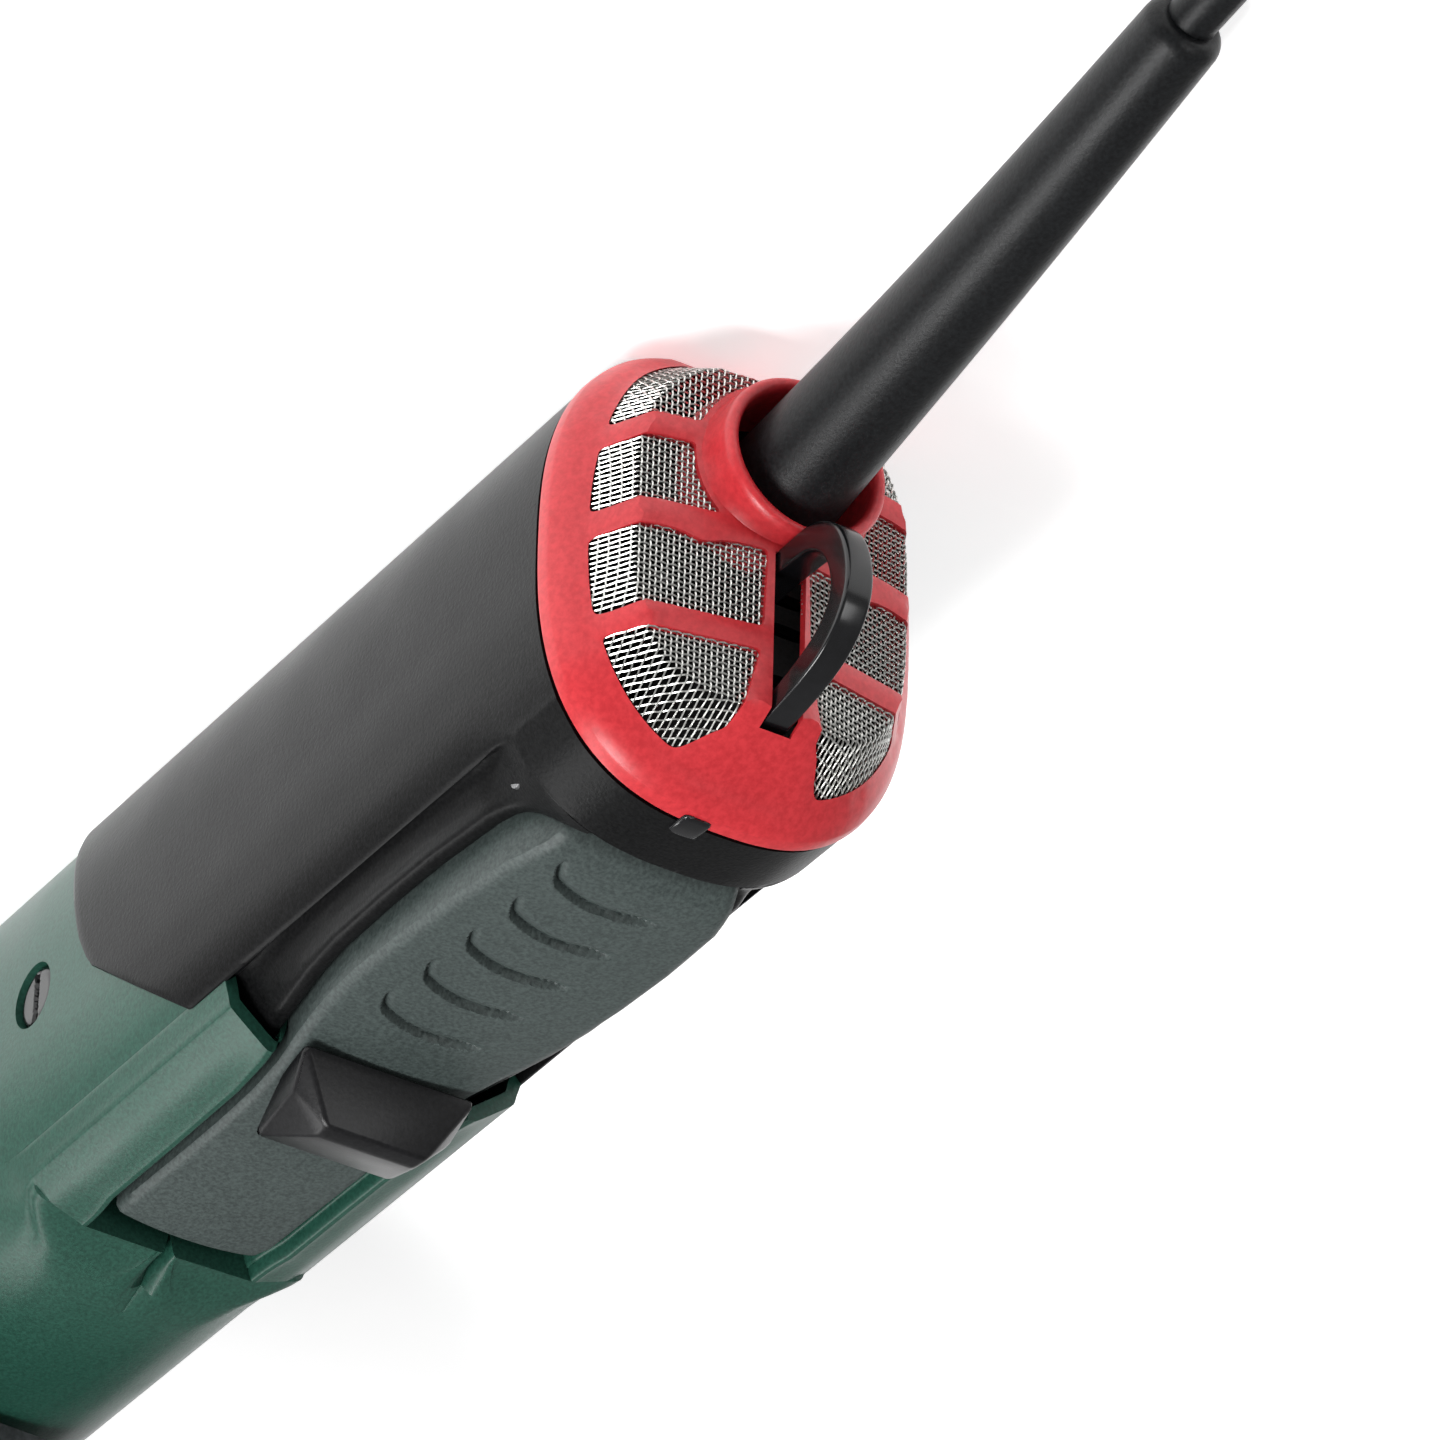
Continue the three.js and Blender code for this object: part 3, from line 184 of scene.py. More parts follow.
def frames_on(path, up=(0, 0, 1)):
    """Side and rise directions square to a path: side = up x tangent, rise = tangent x side."""
    tangent = np.gradient(path, axis=0)
    tangent /= np.linalg.norm(tangent, axis=1, keepdims=True)
    side = np.cross(np.asarray(up, float), tangent)
    side /= np.linalg.norm(side, axis=1, keepdims=True)
    return side, np.cross(tangent, side)


def tube(path, radius, sides=20, up=(0, 0, 1)):
    """Rows of a round tube: path + radius (cos a side + sin a rise), with a radius at each point of it."""
    side, rise = frames_on(path, up)
    angle = np.linspace(0, 2 * np.pi, sides, endpoint=False)
    radius = np.broadcast_to(np.asarray(radius, float), len(path))[:, None, None]
    loop = np.cos(angle)[None, :, None] * side[:, None] + np.sin(angle)[None, :, None] * rise[:, None]
    return path[:, None] + radius * loop

# %% [markdown]
# ## Finishes
# Moulded parts are never one flat colour. Each finish here mixes two close tones with a fine noise, and the
# same noise lifts the surface a little as bump, which is the spark texture that a mould leaves. One builder
# makes them all, and the numbers that differ are its arguments: tones, roughness, grain size and depth.

# %% A builder for moulded and machined finishes
def node(tree, kind, **settings):
    made = tree.nodes.new(kind)
    for key, value in settings.items():
        if key in made.inputs:
            made.inputs[key].default_value = value
        else:
            setattr(made, key, value)
    return made


def linked(tree, source, output, target, socket):
    tree.links.new(source.outputs[output], target.inputs[socket])


ROUGH_SPREAD = 0.12


def finish(name, dark, light, roughness, grain, depth, metallic=0.0, gloss=0.5, blotch=60.0):
    """Two tones mixed by fine noise and broad blotches. Roughness follows the blotches, bump the fine noise."""
    material = bpy.data.materials.new(name)
    material.use_nodes = True
    tree = material.node_tree
    shader = tree.nodes["Principled BSDF"]
    shader.inputs["Metallic"].default_value = metallic
    shader.inputs["Specular IOR Level"].default_value = gloss
    place = node(tree, "ShaderNodeTexCoord")
    fine = node(tree, "ShaderNodeTexNoise", Scale=grain, Detail=3.0, Roughness=0.6)
    broad = node(tree, "ShaderNodeTexNoise", Scale=blotch, Detail=2.0)
    for texture in (fine, broad):
        linked(tree, place, "Object", texture, "Vector")
    spread = node(tree, "ShaderNodeMapRange")
    spread.inputs["From Min"].default_value = 0.35
    spread.inputs["From Max"].default_value = 0.65
    linked(tree, fine, "Fac", spread, "Value")
    tones = node(tree, "ShaderNodeMix", data_type="RGBA")
    tones.inputs[6].default_value = (*dark, 1)
    tones.inputs[7].default_value = (*light, 1)
    both = node(tree, "ShaderNodeMath", operation="MULTIPLY_ADD")
    both.inputs[1].default_value = 0.75
    linked(tree, spread, "Result", both, 0)
    share = node(tree, "ShaderNodeMath", operation="MULTIPLY")
    share.inputs[1].default_value = 0.25
    linked(tree, broad, "Fac", share, 0)
    linked(tree, share, "Value", both, 2)
    tree.links.new(both.outputs["Value"], tones.inputs["Factor"])
    tree.links.new(tones.outputs[2], shader.inputs["Base Color"])
    rough = node(tree, "ShaderNodeMapRange")
    rough.inputs["To Min"].default_value = roughness - ROUGH_SPREAD / 2
    rough.inputs["To Max"].default_value = roughness + ROUGH_SPREAD / 2
    linked(tree, broad, "Fac", rough, "Value")
    linked(tree, rough, "Result", shader, "Roughness")
    bump = node(tree, "ShaderNodeBump", Strength=0.5, Distance=depth)
    linked(tree, fine, "Fac", bump, "Height")
    linked(tree, bump, "Normal", shader, "Normal")
    return material


FINISHES = {
    "grip": finish(
        "soft grip black", (0.0015, 0.0015, 0.0017), (0.007, 0.0072, 0.0075), 0.38, 1500, 0.00012, gloss=0.12,
    ),
    "green": finish(
        "moulded green", (0.006, 0.036, 0.024), (0.016, 0.072, 0.050), 0.40, 1500, 0.00008, gloss=0.4,
    ),
    "red": finish(
        "moulded red", (0.42, 0.016, 0.022), (0.56, 0.030, 0.038), 0.36, 900, 0.00004, gloss=0.4,
    ),
    "paddle": finish(
        "paddle grey", (0.024, 0.032, 0.031), (0.060, 0.078, 0.074), 0.5, 1400, 0.00010, gloss=0.35,
    ),
    "plastic": finish(
        "glossy black", (0.0025, 0.0025, 0.003), (0.005, 0.005, 0.006), 0.2, 600, 0.00001, gloss=0.45,
    ),
    "lever": finish(
        "lever black", (0.003, 0.003, 0.0035), (0.009, 0.009, 0.010), 0.33, 1300, 0.00005, gloss=0.25,
    ),
    "rubber": finish(
        "cord rubber", (0.003, 0.003, 0.0035), (0.010, 0.011, 0.012), 0.42, 1400, 0.00010, gloss=0.2,
    ),
    "mesh": finish(
        "filter steel", (0.42, 0.42, 0.40), (0.72, 0.72, 0.69), 0.28, 2500, 0.00001, metallic=1.0,
    ),
    "steel": finish(
        "turned steel", (0.42, 0.42, 0.43), (0.58, 0.58, 0.59), 0.28, 900, 0.00002, metallic=1.0,
    ),
    "bronze": finish(
        "copper segments", (0.44, 0.22, 0.09), (0.60, 0.32, 0.15), 0.34, 900, 0.00002, metallic=1.0,
    ),
    "iron": finish(
        "painted guard steel", (0.035, 0.037, 0.04), (0.07, 0.074, 0.078), 0.42, 800, 0.00003, metallic=0.6,
    ),
    "alloy": finish(
        "blasted die casting", (0.05, 0.053, 0.057), (0.11, 0.114, 0.12), 0.46, 1300, 0.00008, metallic=0.7,
    ),
    "carbon": finish(
        "pressed carbon", (0.012, 0.012, 0.012), (0.03, 0.03, 0.03), 0.8, 1500, 0.00005,
    ),
    "abrasive": finish(
        "bonded grit", (0.010, 0.008, 0.007), (0.065, 0.055, 0.05), 0.88, 1100, 0.0004,
    ),
}
print(len(FINISHES), "finishes")

# %% [markdown]
# ## The cord
# The mains lead leaves a stiff sleeve, bends down to the bench and lies on it, and the spare length is wound
# into a round coil beside the tool with its plug next to it. A curve object would do, but numpy gives the
# winding exactly: twelve places in the coil's section, three across and four high, visited one by one. The
# cord keeps its place for most of a turn and moves over to the next place within one short sector.

# %% The cord's sizes and its free run
CORD_RADIUS = 4.25
BENCH_Z = -41.0
REST_Z = BENCH_Z + CORD_RADIUS + 0.2
COIL_X, COIL_Y, COIL_RADIUS = 218.0, 106.0, 49.0
PLUG_REST_Z = BENCH_Z + 10.2
SLEEVE_END = np.array([131.4, 0.0, -34.2])

run = np.array([
    [129.0, 0, -33.95], [131.9, 0, -34.4], [140, 0, -35.6], [150, 0.5, -36.4],
    [160, 1.5, REST_Z], [175, 4, REST_Z],
    [190, 8, REST_Z], [205, 14, REST_Z], [220, 22, REST_Z], [235, 32, REST_Z], [248, 42.5, REST_Z],
    [258.5, 53.5, REST_Z], [267, 66, REST_Z], [272.6, 80, REST_Z], [275, 93.5, REST_Z],
])
tail = np.array([
    [207, 163.5, REST_Z], [197, 163.5, REST_Z], [186.6, 163.6, REST_Z], [180, 163.8, REST_Z + 0.7],
    [172, 163.8, REST_Z + 2.8], [164, 163.8, PLUG_REST_Z - 1], [158, 163.8, PLUG_REST_Z - 0.1],
    [153, 163.8, PLUG_REST_Z], [150, 163.8, PLUG_REST_Z], [146, 163.8, PLUG_REST_Z],
])


# %% Wind the coil
PLACES = np.array([
    (3, 1), (2, 1), (1, 1), (1, 2), (2, 2), (2, 3), (1, 3), (1, 4), (2, 4), (3, 4), (3, 3), (3, 2), (3, 1),
], float)


def wound(turns, per_turn=40):
    """Coil points. At angle a the cord is s places on, where s gains smoothstep(10, 60 degrees) each turn.
    Between two places it moves straight, and it bows aside by 0.3 diameters while it climbs."""
    angle = np.linspace(0, 360 * turns, int(per_turn * turns) + 1)
    gained = np.floor(angle / 360) + smoothstep(10, 60, angle % 360)
    low = np.minimum(gained.astype(int), len(PLACES) - 2)
    part = (gained - low)[:, None]
    place = PLACES[low] * (1 - part) + PLACES[low + 1] * part
    climbs = PLACES[low, 1] != PLACES[low + 1, 1]
    bow = np.where(PLACES[low, 0] == 1, -0.3, 0.3) * climbs * np.sin(np.pi * part[:, 0])
    radius = COIL_RADIUS + (place[:, 0] - 2 + bow) * 2 * CORD_RADIUS
    turn = np.radians(angle)
    x, y = COIL_X + radius * np.cos(turn), COIL_Y + radius * np.sin(turn)
    return np.stack([x, y, REST_Z + (place[:, 1] - 1) * 2 * CORD_RADIUS], axis=1)


coil_points = wound(11.25)
route = placed(np.vstack([along(run, steps=60), coil_points, along(tail, steps=24)]))
route_length = np.linalg.norm(np.diff(route, axis=0), axis=1).sum()
print("cord", round(float(route_length), 3), "m in", len(route), "points")

# %% Make the cord
lead = skin("mains_lead", tube(route, CORD_RADIUS * MM, sides=16), FINISHES["rubber"], angle=60)
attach(lead, "root")
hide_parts("cord", "cord_coil", "cord_tail")

# %% [markdown]
# ## The plug
# A moulded two-pin plug is one rubber body: a round boot that grips the cord, a waist for the fingers and a
# flat nose that carries the pins. A loft does it: rounded-rectangle rings whose half width, half height and
# squareness change along the plug, with five shallow ribs in the waist.

# %% Loft the plug body
PLUG_REAR_X, PLUG_Y = 149.7, 163.8


def rounded_loop(half_width, half_height, power, count=48):
    """A superellipse loop: (a |cos t|^(2/n), b |sin t|^(2/n)) with the signs of cos t and sin t."""
    t = np.linspace(0, 2 * np.pi, count, endpoint=False)
    c, s = np.cos(t), np.sin(t)
    return np.stack([
        half_width * np.sign(c) * np.abs(c) ** (2 / power), half_height * np.sign(s) * np.abs(s) ** (2 / power)
    ], axis=1)


stations = np.array([
    # distance, half width, half height, squareness
    (0, 4.6, 4.6, 2), (1.2, 5.1, 5.1, 2), (14, 6.2, 6.2, 2), (19, 8.6, 7.4, 2.2), (24, 12.5, 9.2, 2.6),
    (29, 14.2, 9.6, 3), (40, 14.8, 9.4, 3.2), (47, 17.2, 9.8, 3.6), (55.5, 17.6, 9.8, 4),
    (57.4, 17.0, 9.2, 4), (57.9, 16.2, 8.4, 4),
])
marks = np.concatenate([np.linspace(0, 20, 21), np.linspace(20.5, 57.9, 76)])
sizes = np.stack([np.interp(marks, stations[:, 0], stations[:, k]) for k in (1, 2, 3)], axis=1)
BODY_RIB_PITCH, BOOT_RIB_PITCH = 4.4, 3.4
ribbed = 0.55 * np.clip(np.sin((marks - 25) * 2 * np.pi / BODY_RIB_PITCH), 0, 1)
ribbed = ribbed * smoothstep(25, 27, marks) * (1 - smoothstep(45, 47, marks))
boot_cuts = 0.5 * np.clip(np.sin(marks * 2 * np.pi / BOOT_RIB_PITCH), 0, 1)
boot_cuts = boot_cuts * smoothstep(1, 2, marks) * (1 - smoothstep(13, 14, marks))
rows = []
for mark, (wide, high, power), rib in zip(marks, sizes, ribbed + boot_cuts):
    loop = rounded_loop(wide - rib, high - rib, power)
    here = np.full(len(loop), PLUG_REAR_X - mark)
    rows.append(np.column_stack([here, PLUG_Y + loop[:, 0], PLUG_REST_Z + loop[:, 1]]))
plug = skin("plug_moulding", placed(rows), FINISHES["rubber"], angle=35)
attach(plug, "root")
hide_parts("plug_body")

# %% [markdown]
# ## The coil's strap
# A hook-and-loop strap holds the turns. It is a thin band round the coil's section with an overlapping end,
# swept once round a rounded rectangle.

# %% Sweep the strap
section_half = 3 * CORD_RADIUS + 0.7
section_high = 4 * 2 * CORD_RADIUS + 0.7
turn = np.linspace(0, 2 * np.pi, 72, endpoint=False)
loop = rounded_loop(section_half, section_high / 2, 7, 72)
outward = loop / np.linalg.norm(loop, axis=1, keepdims=True)
lap = 0.5 * smoothstep(0.6, 0.9, turn) * (1 - smoothstep(2.3, 2.35, turn))
STRAP_HALF = 5.0
strap_rows = []
for across_y, depth in ((-STRAP_HALF, 0.15), (-STRAP_HALF, 0.85), (STRAP_HALF, 0.85), (STRAP_HALF, 0.15)):
    ring_points = loop + outward * (depth + lap * (depth > 0.5))[:, None]
    strap_rows.append(np.column_stack([
        np.full(72, COIL_X + across_y), COIL_Y - COIL_RADIUS + ring_points[:, 0],
        np.maximum(BENCH_Z + section_high / 2 + 0.1 + ring_points[:, 1], BENCH_Z + 0.05),
    ]))
strap = skin("coil_strap", placed(strap_rows), FINISHES["plastic"], ring=True, angle=30)
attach(strap, "root")
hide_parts("coil_tie")

# %% [markdown]
# ## The sleeve
# A thick moulded sleeve keeps the lead from kinking where it leaves the tool. It is a tube that tapers and
# leans a little towards the bench. It starts inside the collar and ends in a soft rounded lip round the cord.

# %% Make the sleeve
SLEEVE_FOOT = np.array([7.0, 0.0, -14 + 19 * 0.162])
drop = SLEEVE_END - SLEEVE_FOOT
reach = np.linalg.norm(drop)
rounded_end = reach - 3 + 3 * np.sin(np.linspace(0.15, np.pi / 2, 9))
far = np.concatenate([[-3.0], np.linspace(0, reach - 3, 60), rounded_end])
radius = 9.9 - 3.2 * np.clip((far - 14) / (reach - 14), 0, 1) ** 0.85
lip = np.clip((far - reach + 3) / 3, 0, 1)
radius = radius - 2.1 * (1 - np.sqrt(1 - 0.999 * lip**2))
bow = 1.3 * np.sin(np.pi * np.clip(far / reach, 0, 1))
sleeve_path = SLEEVE_FOOT + far[:, None] * drop / reach + bow[:, None] * np.array([0.16, 0, 0.98])
sleeve_rows = tube(placed(sleeve_path), radius * MM, sides=64)
sleeve = skin("cord_strain_sleeve", sleeve_rows, FINISHES["rubber"], angle=50)
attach(sleeve, "root")
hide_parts("cord_sleeve")

# %% [markdown]
# ## The bench and the light
# A plain pale bench, a bright even surround, one broad key from above on the tool's left and a long strip
# over the nose, so that the black grip gets soft edges of light.

# %% Lay the bench and hang the lights
bench_mesh = bpy.data.meshes.new("bench")
side = 6.0
corners = [(-side, -side, 0), (side, -side, 0), (side, side, 0), (-side, side, 0)]
bench_mesh.from_pydata(corners, [], [(0, 1, 2, 3)])
bench = bpy.data.objects.new("bench", bench_mesh)
bpy.context.scene.collection.objects.link(bench)
white = finish("pale bench", (0.91, 0.91, 0.91), (0.94, 0.94, 0.94), 0.7, 60, 0.00002, gloss=0.2, blotch=4.0)
glow = white.node_tree.nodes["Principled BSDF"]  # a lit table: it gives off a little light of its own
glow.inputs["Emission Color"].default_value = (1, 1, 1, 1)
glow.inputs["Emission Strength"].default_value = 0.55
bench_mesh.materials.append(white)


def soft_light(name, direction, far_off, wide, high, watts, target=(0, 0, 0)):
    """A rectangular area light that looks at a point from a direction."""
    lamp = bpy.data.objects.new(name, bpy.data.lights.new(name, "AREA"))
    lamp.data.shape = "RECTANGLE"
    lamp.data.size, lamp.data.size_y, lamp.data.energy = wide, high, watts
    direction = Vector(direction).normalized()
    spot = Vector(placed(target))
    aimed = direction.to_track_quat("Z", "Y").to_matrix().to_4x4()
    lamp.matrix_world = Matrix.Translation(spot + direction * far_off) @ aimed
    bpy.context.scene.collection.objects.link(lamp)
    return lamp


soft_light("key", (-0.11, 0.55, 0.80), 1.3, 0.5, 0.5, 17)
soft_light("strip", (-0.71, 0.46, 0.54), 1.5, 1.1, 0.25, 7)
soft_light("tail", (0.85, -0.25, 0.45), 1.6, 0.6, 0.6, 5)
world = bpy.data.worlds.new("surround")
world.use_nodes = True
world.node_tree.nodes["Background"].inputs["Color"].default_value = (1, 1, 1, 1)
world.node_tree.nodes["Background"].inputs["Strength"].default_value = 0.36
bpy.context.scene.world = world
bpy.context.scene.view_settings.view_transform = "Standard"  # plain whites and deep blacks

# %% [markdown]
# ## The filter cap's frame
# The red cap is a dome over the housing's rear face: a straight rim, a rounded shoulder, a steep facet and a
# gentle roof, cut by eight windows. A height over each point of the (y, z) plane describes the dome, and a
# constrained Delaunay triangulation of that plane, with the windows left out, gives clean window edges. The
# same triangles, set a wall's thickness lower, make the inside.

# %% The housing's outline and the dome's height
HALF_WIDTH, HALF_HEIGHT, SQUARENESS, BACK_Z = 33.8, 42.5, 2.6, -41.0


def outline(t, inset=0.0):
    """The housing's outline at angle t from +Y: a superellipse |y/a|^n + |z/b|^n = 1, cut flat at the back."""
    c, s = np.cos(t), np.sin(t)
    y = (HALF_WIDTH - inset) * np.sign(c) * np.abs(c) ** (2 / SQUARENESS)
    z = (HALF_HEIGHT - inset) * np.sign(s) * np.abs(s) ** (2 / SQUARENESS)
    return np.stack([y, np.maximum(z, BACK_Z + inset)], axis=-1)


def side_y(z, inset=0.0):
    """The outline's half width at height z."""
    share = np.clip(np.abs(z) / (HALF_HEIGHT - inset), 0, 1)
    return (HALF_WIDTH - inset) * (1 - share**SQUARENESS) ** (1 / SQUARENESS)


def inset_of(y, z):
    """How far inside the outline a point is, along its ray, and never over its height above the flat."""
    level = (np.abs(y / HALF_WIDTH) ** SQUARENESS + np.abs(z / HALF_HEIGHT) ** SQUARENESS) ** (1 / SQUARENESS)
    level = np.maximum(level, 1e-6)
    return np.maximum(np.minimum((1 - level) / level * np.hypot(y, z), z - BACK_Z), 0)


SHOULDER_X, CREASE_X, CREASE_INSET, ROOF_X, ROOF_FALL = 3.6, 7.7, 3.5, 22.0, 0.2


def dome(y, z):
    """Height over (y, z): a convex shoulder 1-(1-d)^1.6 up to the crease, a facet that rises 1.8 in 1, and a
    roof that falls 0.2 in 1 to both sides; facet and roof meet in a soft minimum -k log(e^(-a/k) + e^(-b/k))."""
    d = inset_of(y, z)
    shoulder = SHOULDER_X + (CREASE_X - SHOULDER_X) * (1 - (1 - np.clip(d / CREASE_INSET, 0, 1)) ** 1.6)
    facet = CREASE_X + 1.8 * np.maximum(d - CREASE_INSET, 0)
    roof = ROOF_X - ROOF_FALL * np.sqrt(y**2 + 1.0)
    soft = 0.35
    low = np.minimum(facet, roof)
    soft_low = low - soft * np.log(np.exp(-(facet - low) / soft) + np.exp(-(roof - low) / soft))
    raised = soft_low + soft * np.log(2) * np.exp(-np.abs(facet - roof))
    return np.where(d < CREASE_INSET, shoulder, raised)


# %% Draw the eight windows
COLLAR_Z, COLLAR_CLEAR = -14.0, 16.2
RIBS = [(-37.0, -19.3), (-15.1, -2.8), (1.9, 16.6), (20.9, 36.4)]  # each row's z from and to


def inner_edge(z, spine):
    """A window's inner edge: the spine's half width, or the circle kept clear round the collar."""
    circle = np.sqrt(np.maximum(COLLAR_CLEAR**2 - (z - COLLAR_Z) ** 2, 0))
    return np.maximum(spine, circle)


def window(row, side):
    """A window's loop: top edge, outer edge at a fixed inset from the outline, bottom edge and inner edge."""
    z0, z1 = RIBS[row]
    spine0, spine1 = [(2.6, 3.6), (3.6, 3.6), (3.8, 4.3), (4.6, 8.2)][row]
    drop = 0 if row < 3 else 2.2 if side > 0 else 3.4  # the last window's bottom edge rises towards the spine
    outer_z = np.linspace(z0, z1, 30)
    outer_y = np.maximum(side_y(outer_z, 4.2), 6)
    inner_z = np.linspace(z1 - drop, z0, 30)
    inner_y = inner_edge(inner_z, spine0 + (spine1 - spine0) * (inner_z - z0) / (z1 - z0))
    across = np.linspace(0.06, 0.94, 26)
    top_y = inner_y[-1] + (outer_y[0] - inner_y[-1]) * across
    low_y = outer_y[-1] + (inner_y[0] - outer_y[-1]) * across
    top = np.column_stack([top_y, np.full(26, z0)])
    low = np.column_stack([low_y, np.full(26, z1)])
    if row == 2:
        top[:, 1] += 1.3 * np.exp(-(((top_y - 14.6) / 2.6) ** 2))
    low[:, 1] -= drop * smoothstep(outer_y[-1], inner_y[0], low_y)
    loop = np.vstack([top, np.column_stack([outer_y, outer_z]), low, np.column_stack([inner_y, inner_z])])
    loop[:, 1] += 0.14 * np.maximum(loop[:, 0] - 22, 0) * (row < 3)
    closed = np.vstack([loop, loop[:1]])
    far = np.concatenate([[0], np.cumsum(np.linalg.norm(np.diff(closed, axis=0), axis=1))])
    even = np.linspace(0, far[-1], 120, endpoint=False)
    loop = np.stack([np.interp(even, far, closed[:, k]) for k in (0, 1)], axis=1)
    for _ in range(3):  # three passes of a 1-2-1 average round the corners
        loop = (np.roll(loop, 1, axis=0) + 2 * loop + np.roll(loop, -1, axis=0)) / 4
    return loop * [side, 1]


windows = [window(row, side) for side in (1, -1) for row in range(4)]


def inside_loop(points, loop):
    """Even-odd test: count the loop's edges that a ray towards +Y crosses."""
    y, z = points[:, 0][:, None], points[:, 1][:, None]
    a, b = loop, np.roll(loop, -1, axis=0)
    crosses = (a[:, 1] > z) != (b[:, 1] > z)
    rise = np.where(np.abs(b[:, 1] - a[:, 1]) < 1e-9, 1e-9, b[:, 1] - a[:, 1])
    at = a[:, 0] + (z - a[:, 1]) / rise * (b[:, 0] - a[:, 0])
    return (crosses & (at > y)).sum(axis=1) % 2 == 1


def nearest(points, loop):
    """Distance from each point to the nearest corner of a finely divided loop."""
    return np.sqrt(((points[:, None] - loop[None]) ** 2).sum(-1)).min(axis=1)


print([len(w) for w in windows][:2], "points a window")

# %% Triangulate the frame
from mathutils.geometry import delaunay_2d_cdt


def shell_of(name, holes, rim, lift, drop_wall, side_rows, spacing, material):
    """A dished sheet with holes: triangles of the rim's inside, without the holes, lifted to an outer and an inner
    surface; side_rows join the two rims, and straight walls join the two edges of each hole."""
    y = np.arange(rim[:, 0].min(), rim[:, 0].max(), spacing)
    z = np.arange(rim[:, 1].min(), rim[:, 1].max(), spacing * 0.87)
    grid = np.stack(np.meshgrid(y, z), axis=-1).astype(float)
    grid[1::2, :, 0] += spacing / 2
    grid = grid.reshape(-1, 2)
    loops = [rim, *holes]
    keep = inside_loop(grid, rim)
    for loop in loops:
        keep &= nearest(grid, loop) > spacing * 0.55
    for loop in holes:
        keep &= ~inside_loop(grid, loop)
    grid = grid[keep]
    flat = np.vstack([*loops, grid])
    edges, start = [], 0
    for loop in loops:
        index = np.arange(len(loop))
        edges += np.stack([start + index, start + (index + 1) % len(loop)], axis=1).tolist()
        start += len(loop)
    verts, _, faces, *_ = delaunay_2d_cdt([Vector(p) for p in flat], edges, [], 0, 1e-6)
    verts = np.array([tuple(v) for v in verts])
    faces = np.array([f for f in faces if len(f) == 3])
    middle = verts[faces].mean(axis=1)
    good = inside_loop(middle, rim)
    for loop in holes:
        good &= ~inside_loop(middle, loop)
    faces = faces[good]
    used = np.unique(faces)
    remap = np.full(len(verts), -1)
    remap[used] = np.arange(len(used))
    verts, faces = verts[used], remap[faces]
    area = np.cross(verts[faces[:, 1]] - verts[faces[:, 0]], verts[faces[:, 2]] - verts[faces[:, 0]])
    faces[area < 0] = faces[area < 0][:, ::-1]
    count = len(verts)
    outer = np.column_stack([lift(verts), verts])
    inner = np.column_stack([lift(verts) - drop_wall, verts])
    half = np.concatenate([faces[:, [0, 1]], faces[:, [1, 2]], faces[:, [2, 0]]])
    known = {tuple(e) for e in half.tolist()}
    border = [e for e in half.tolist() if (e[1], e[0]) not in known]
    on_rim = nearest(verts, rim) < 1e-4
    points = [outer, inner]
    all_faces = faces.tolist() + (faces[:, ::-1] + count).tolist()
    rim_next = {a: b for a, b in border if on_rim[a] and on_rim[b]}
    all_faces += [[b, a, a + count, b + count] for a, b in border if not (on_rim[a] and on_rim[b])]
    first = next(iter(rim_next))
    order = [first]
    while rim_next[order[-1]] != first:
        order.append(rim_next[order[-1]])
    order = np.array(order)
    rows = [side(verts[order]) for side in side_rows]
    total = 2 * count
    rings = [order]
    for row in rows:
        points.append(row)
        rings.append(total + np.arange(len(order)))
        total += len(order)
    rings.append(order + count)
    for a, b in zip(rings, rings[1:]):
        all_faces += np.stack([a, b, np.roll(b, -1), np.roll(a, -1)], axis=1).tolist()
    points = np.vstack(points)
    inner_rim = order + count
    points[inner_rim] = side_rows[-1](verts[order]) + np.array([drop_wall, 0, 0])
    return link_mesh(name, placed(points), facing_out(placed(points), all_faces), material, 32)


angles = np.linspace(0, 2 * np.pi, 220, endpoint=False)
rim = outline(angles)
rim_keep = np.concatenate([[True], np.linalg.norm(np.diff(rim, axis=0), axis=1) > 0.15])
rim = rim[rim_keep]
bore_angle = np.linspace(0, 2 * np.pi, 72, endpoint=False)
collar_hole = np.stack([13.6 * np.cos(bore_angle), COLLAR_Z + 13.6 * np.sin(bore_angle)], axis=1)
slot_y = 2.9
eye_slot = np.array([[-slot_y, 2.2], [slot_y, 2.2], [slot_y, 33.4], [-slot_y, 33.4]], float)
sides = zip(eye_slot, np.roll(eye_slot, -1, axis=0))
eye_slot = np.vstack([np.linspace(a, b, 16, endpoint=False) for a, b in sides])
loops = [*windows, collar_hole, eye_slot]


def frame_height(points):
    """The dome, with every edge of a window eased down by 0.35 mm within half a millimetre."""
    gap = np.min([nearest(points, loop) for loop in windows], axis=0)
    return dome(points[:, 0], points[:, 1]) - 0.35 * np.clip(1 - gap / 0.5, 0, 1) ** 2


def squeezed(points, inset):
    """Rim points moved towards the middle by an inset, and kept off the bench."""
    moved = points * (1 - inset / np.linalg.norm(points, axis=1, keepdims=True))
    return np.column_stack([moved[:, 0], np.maximum(moved[:, 1], BACK_Z)])


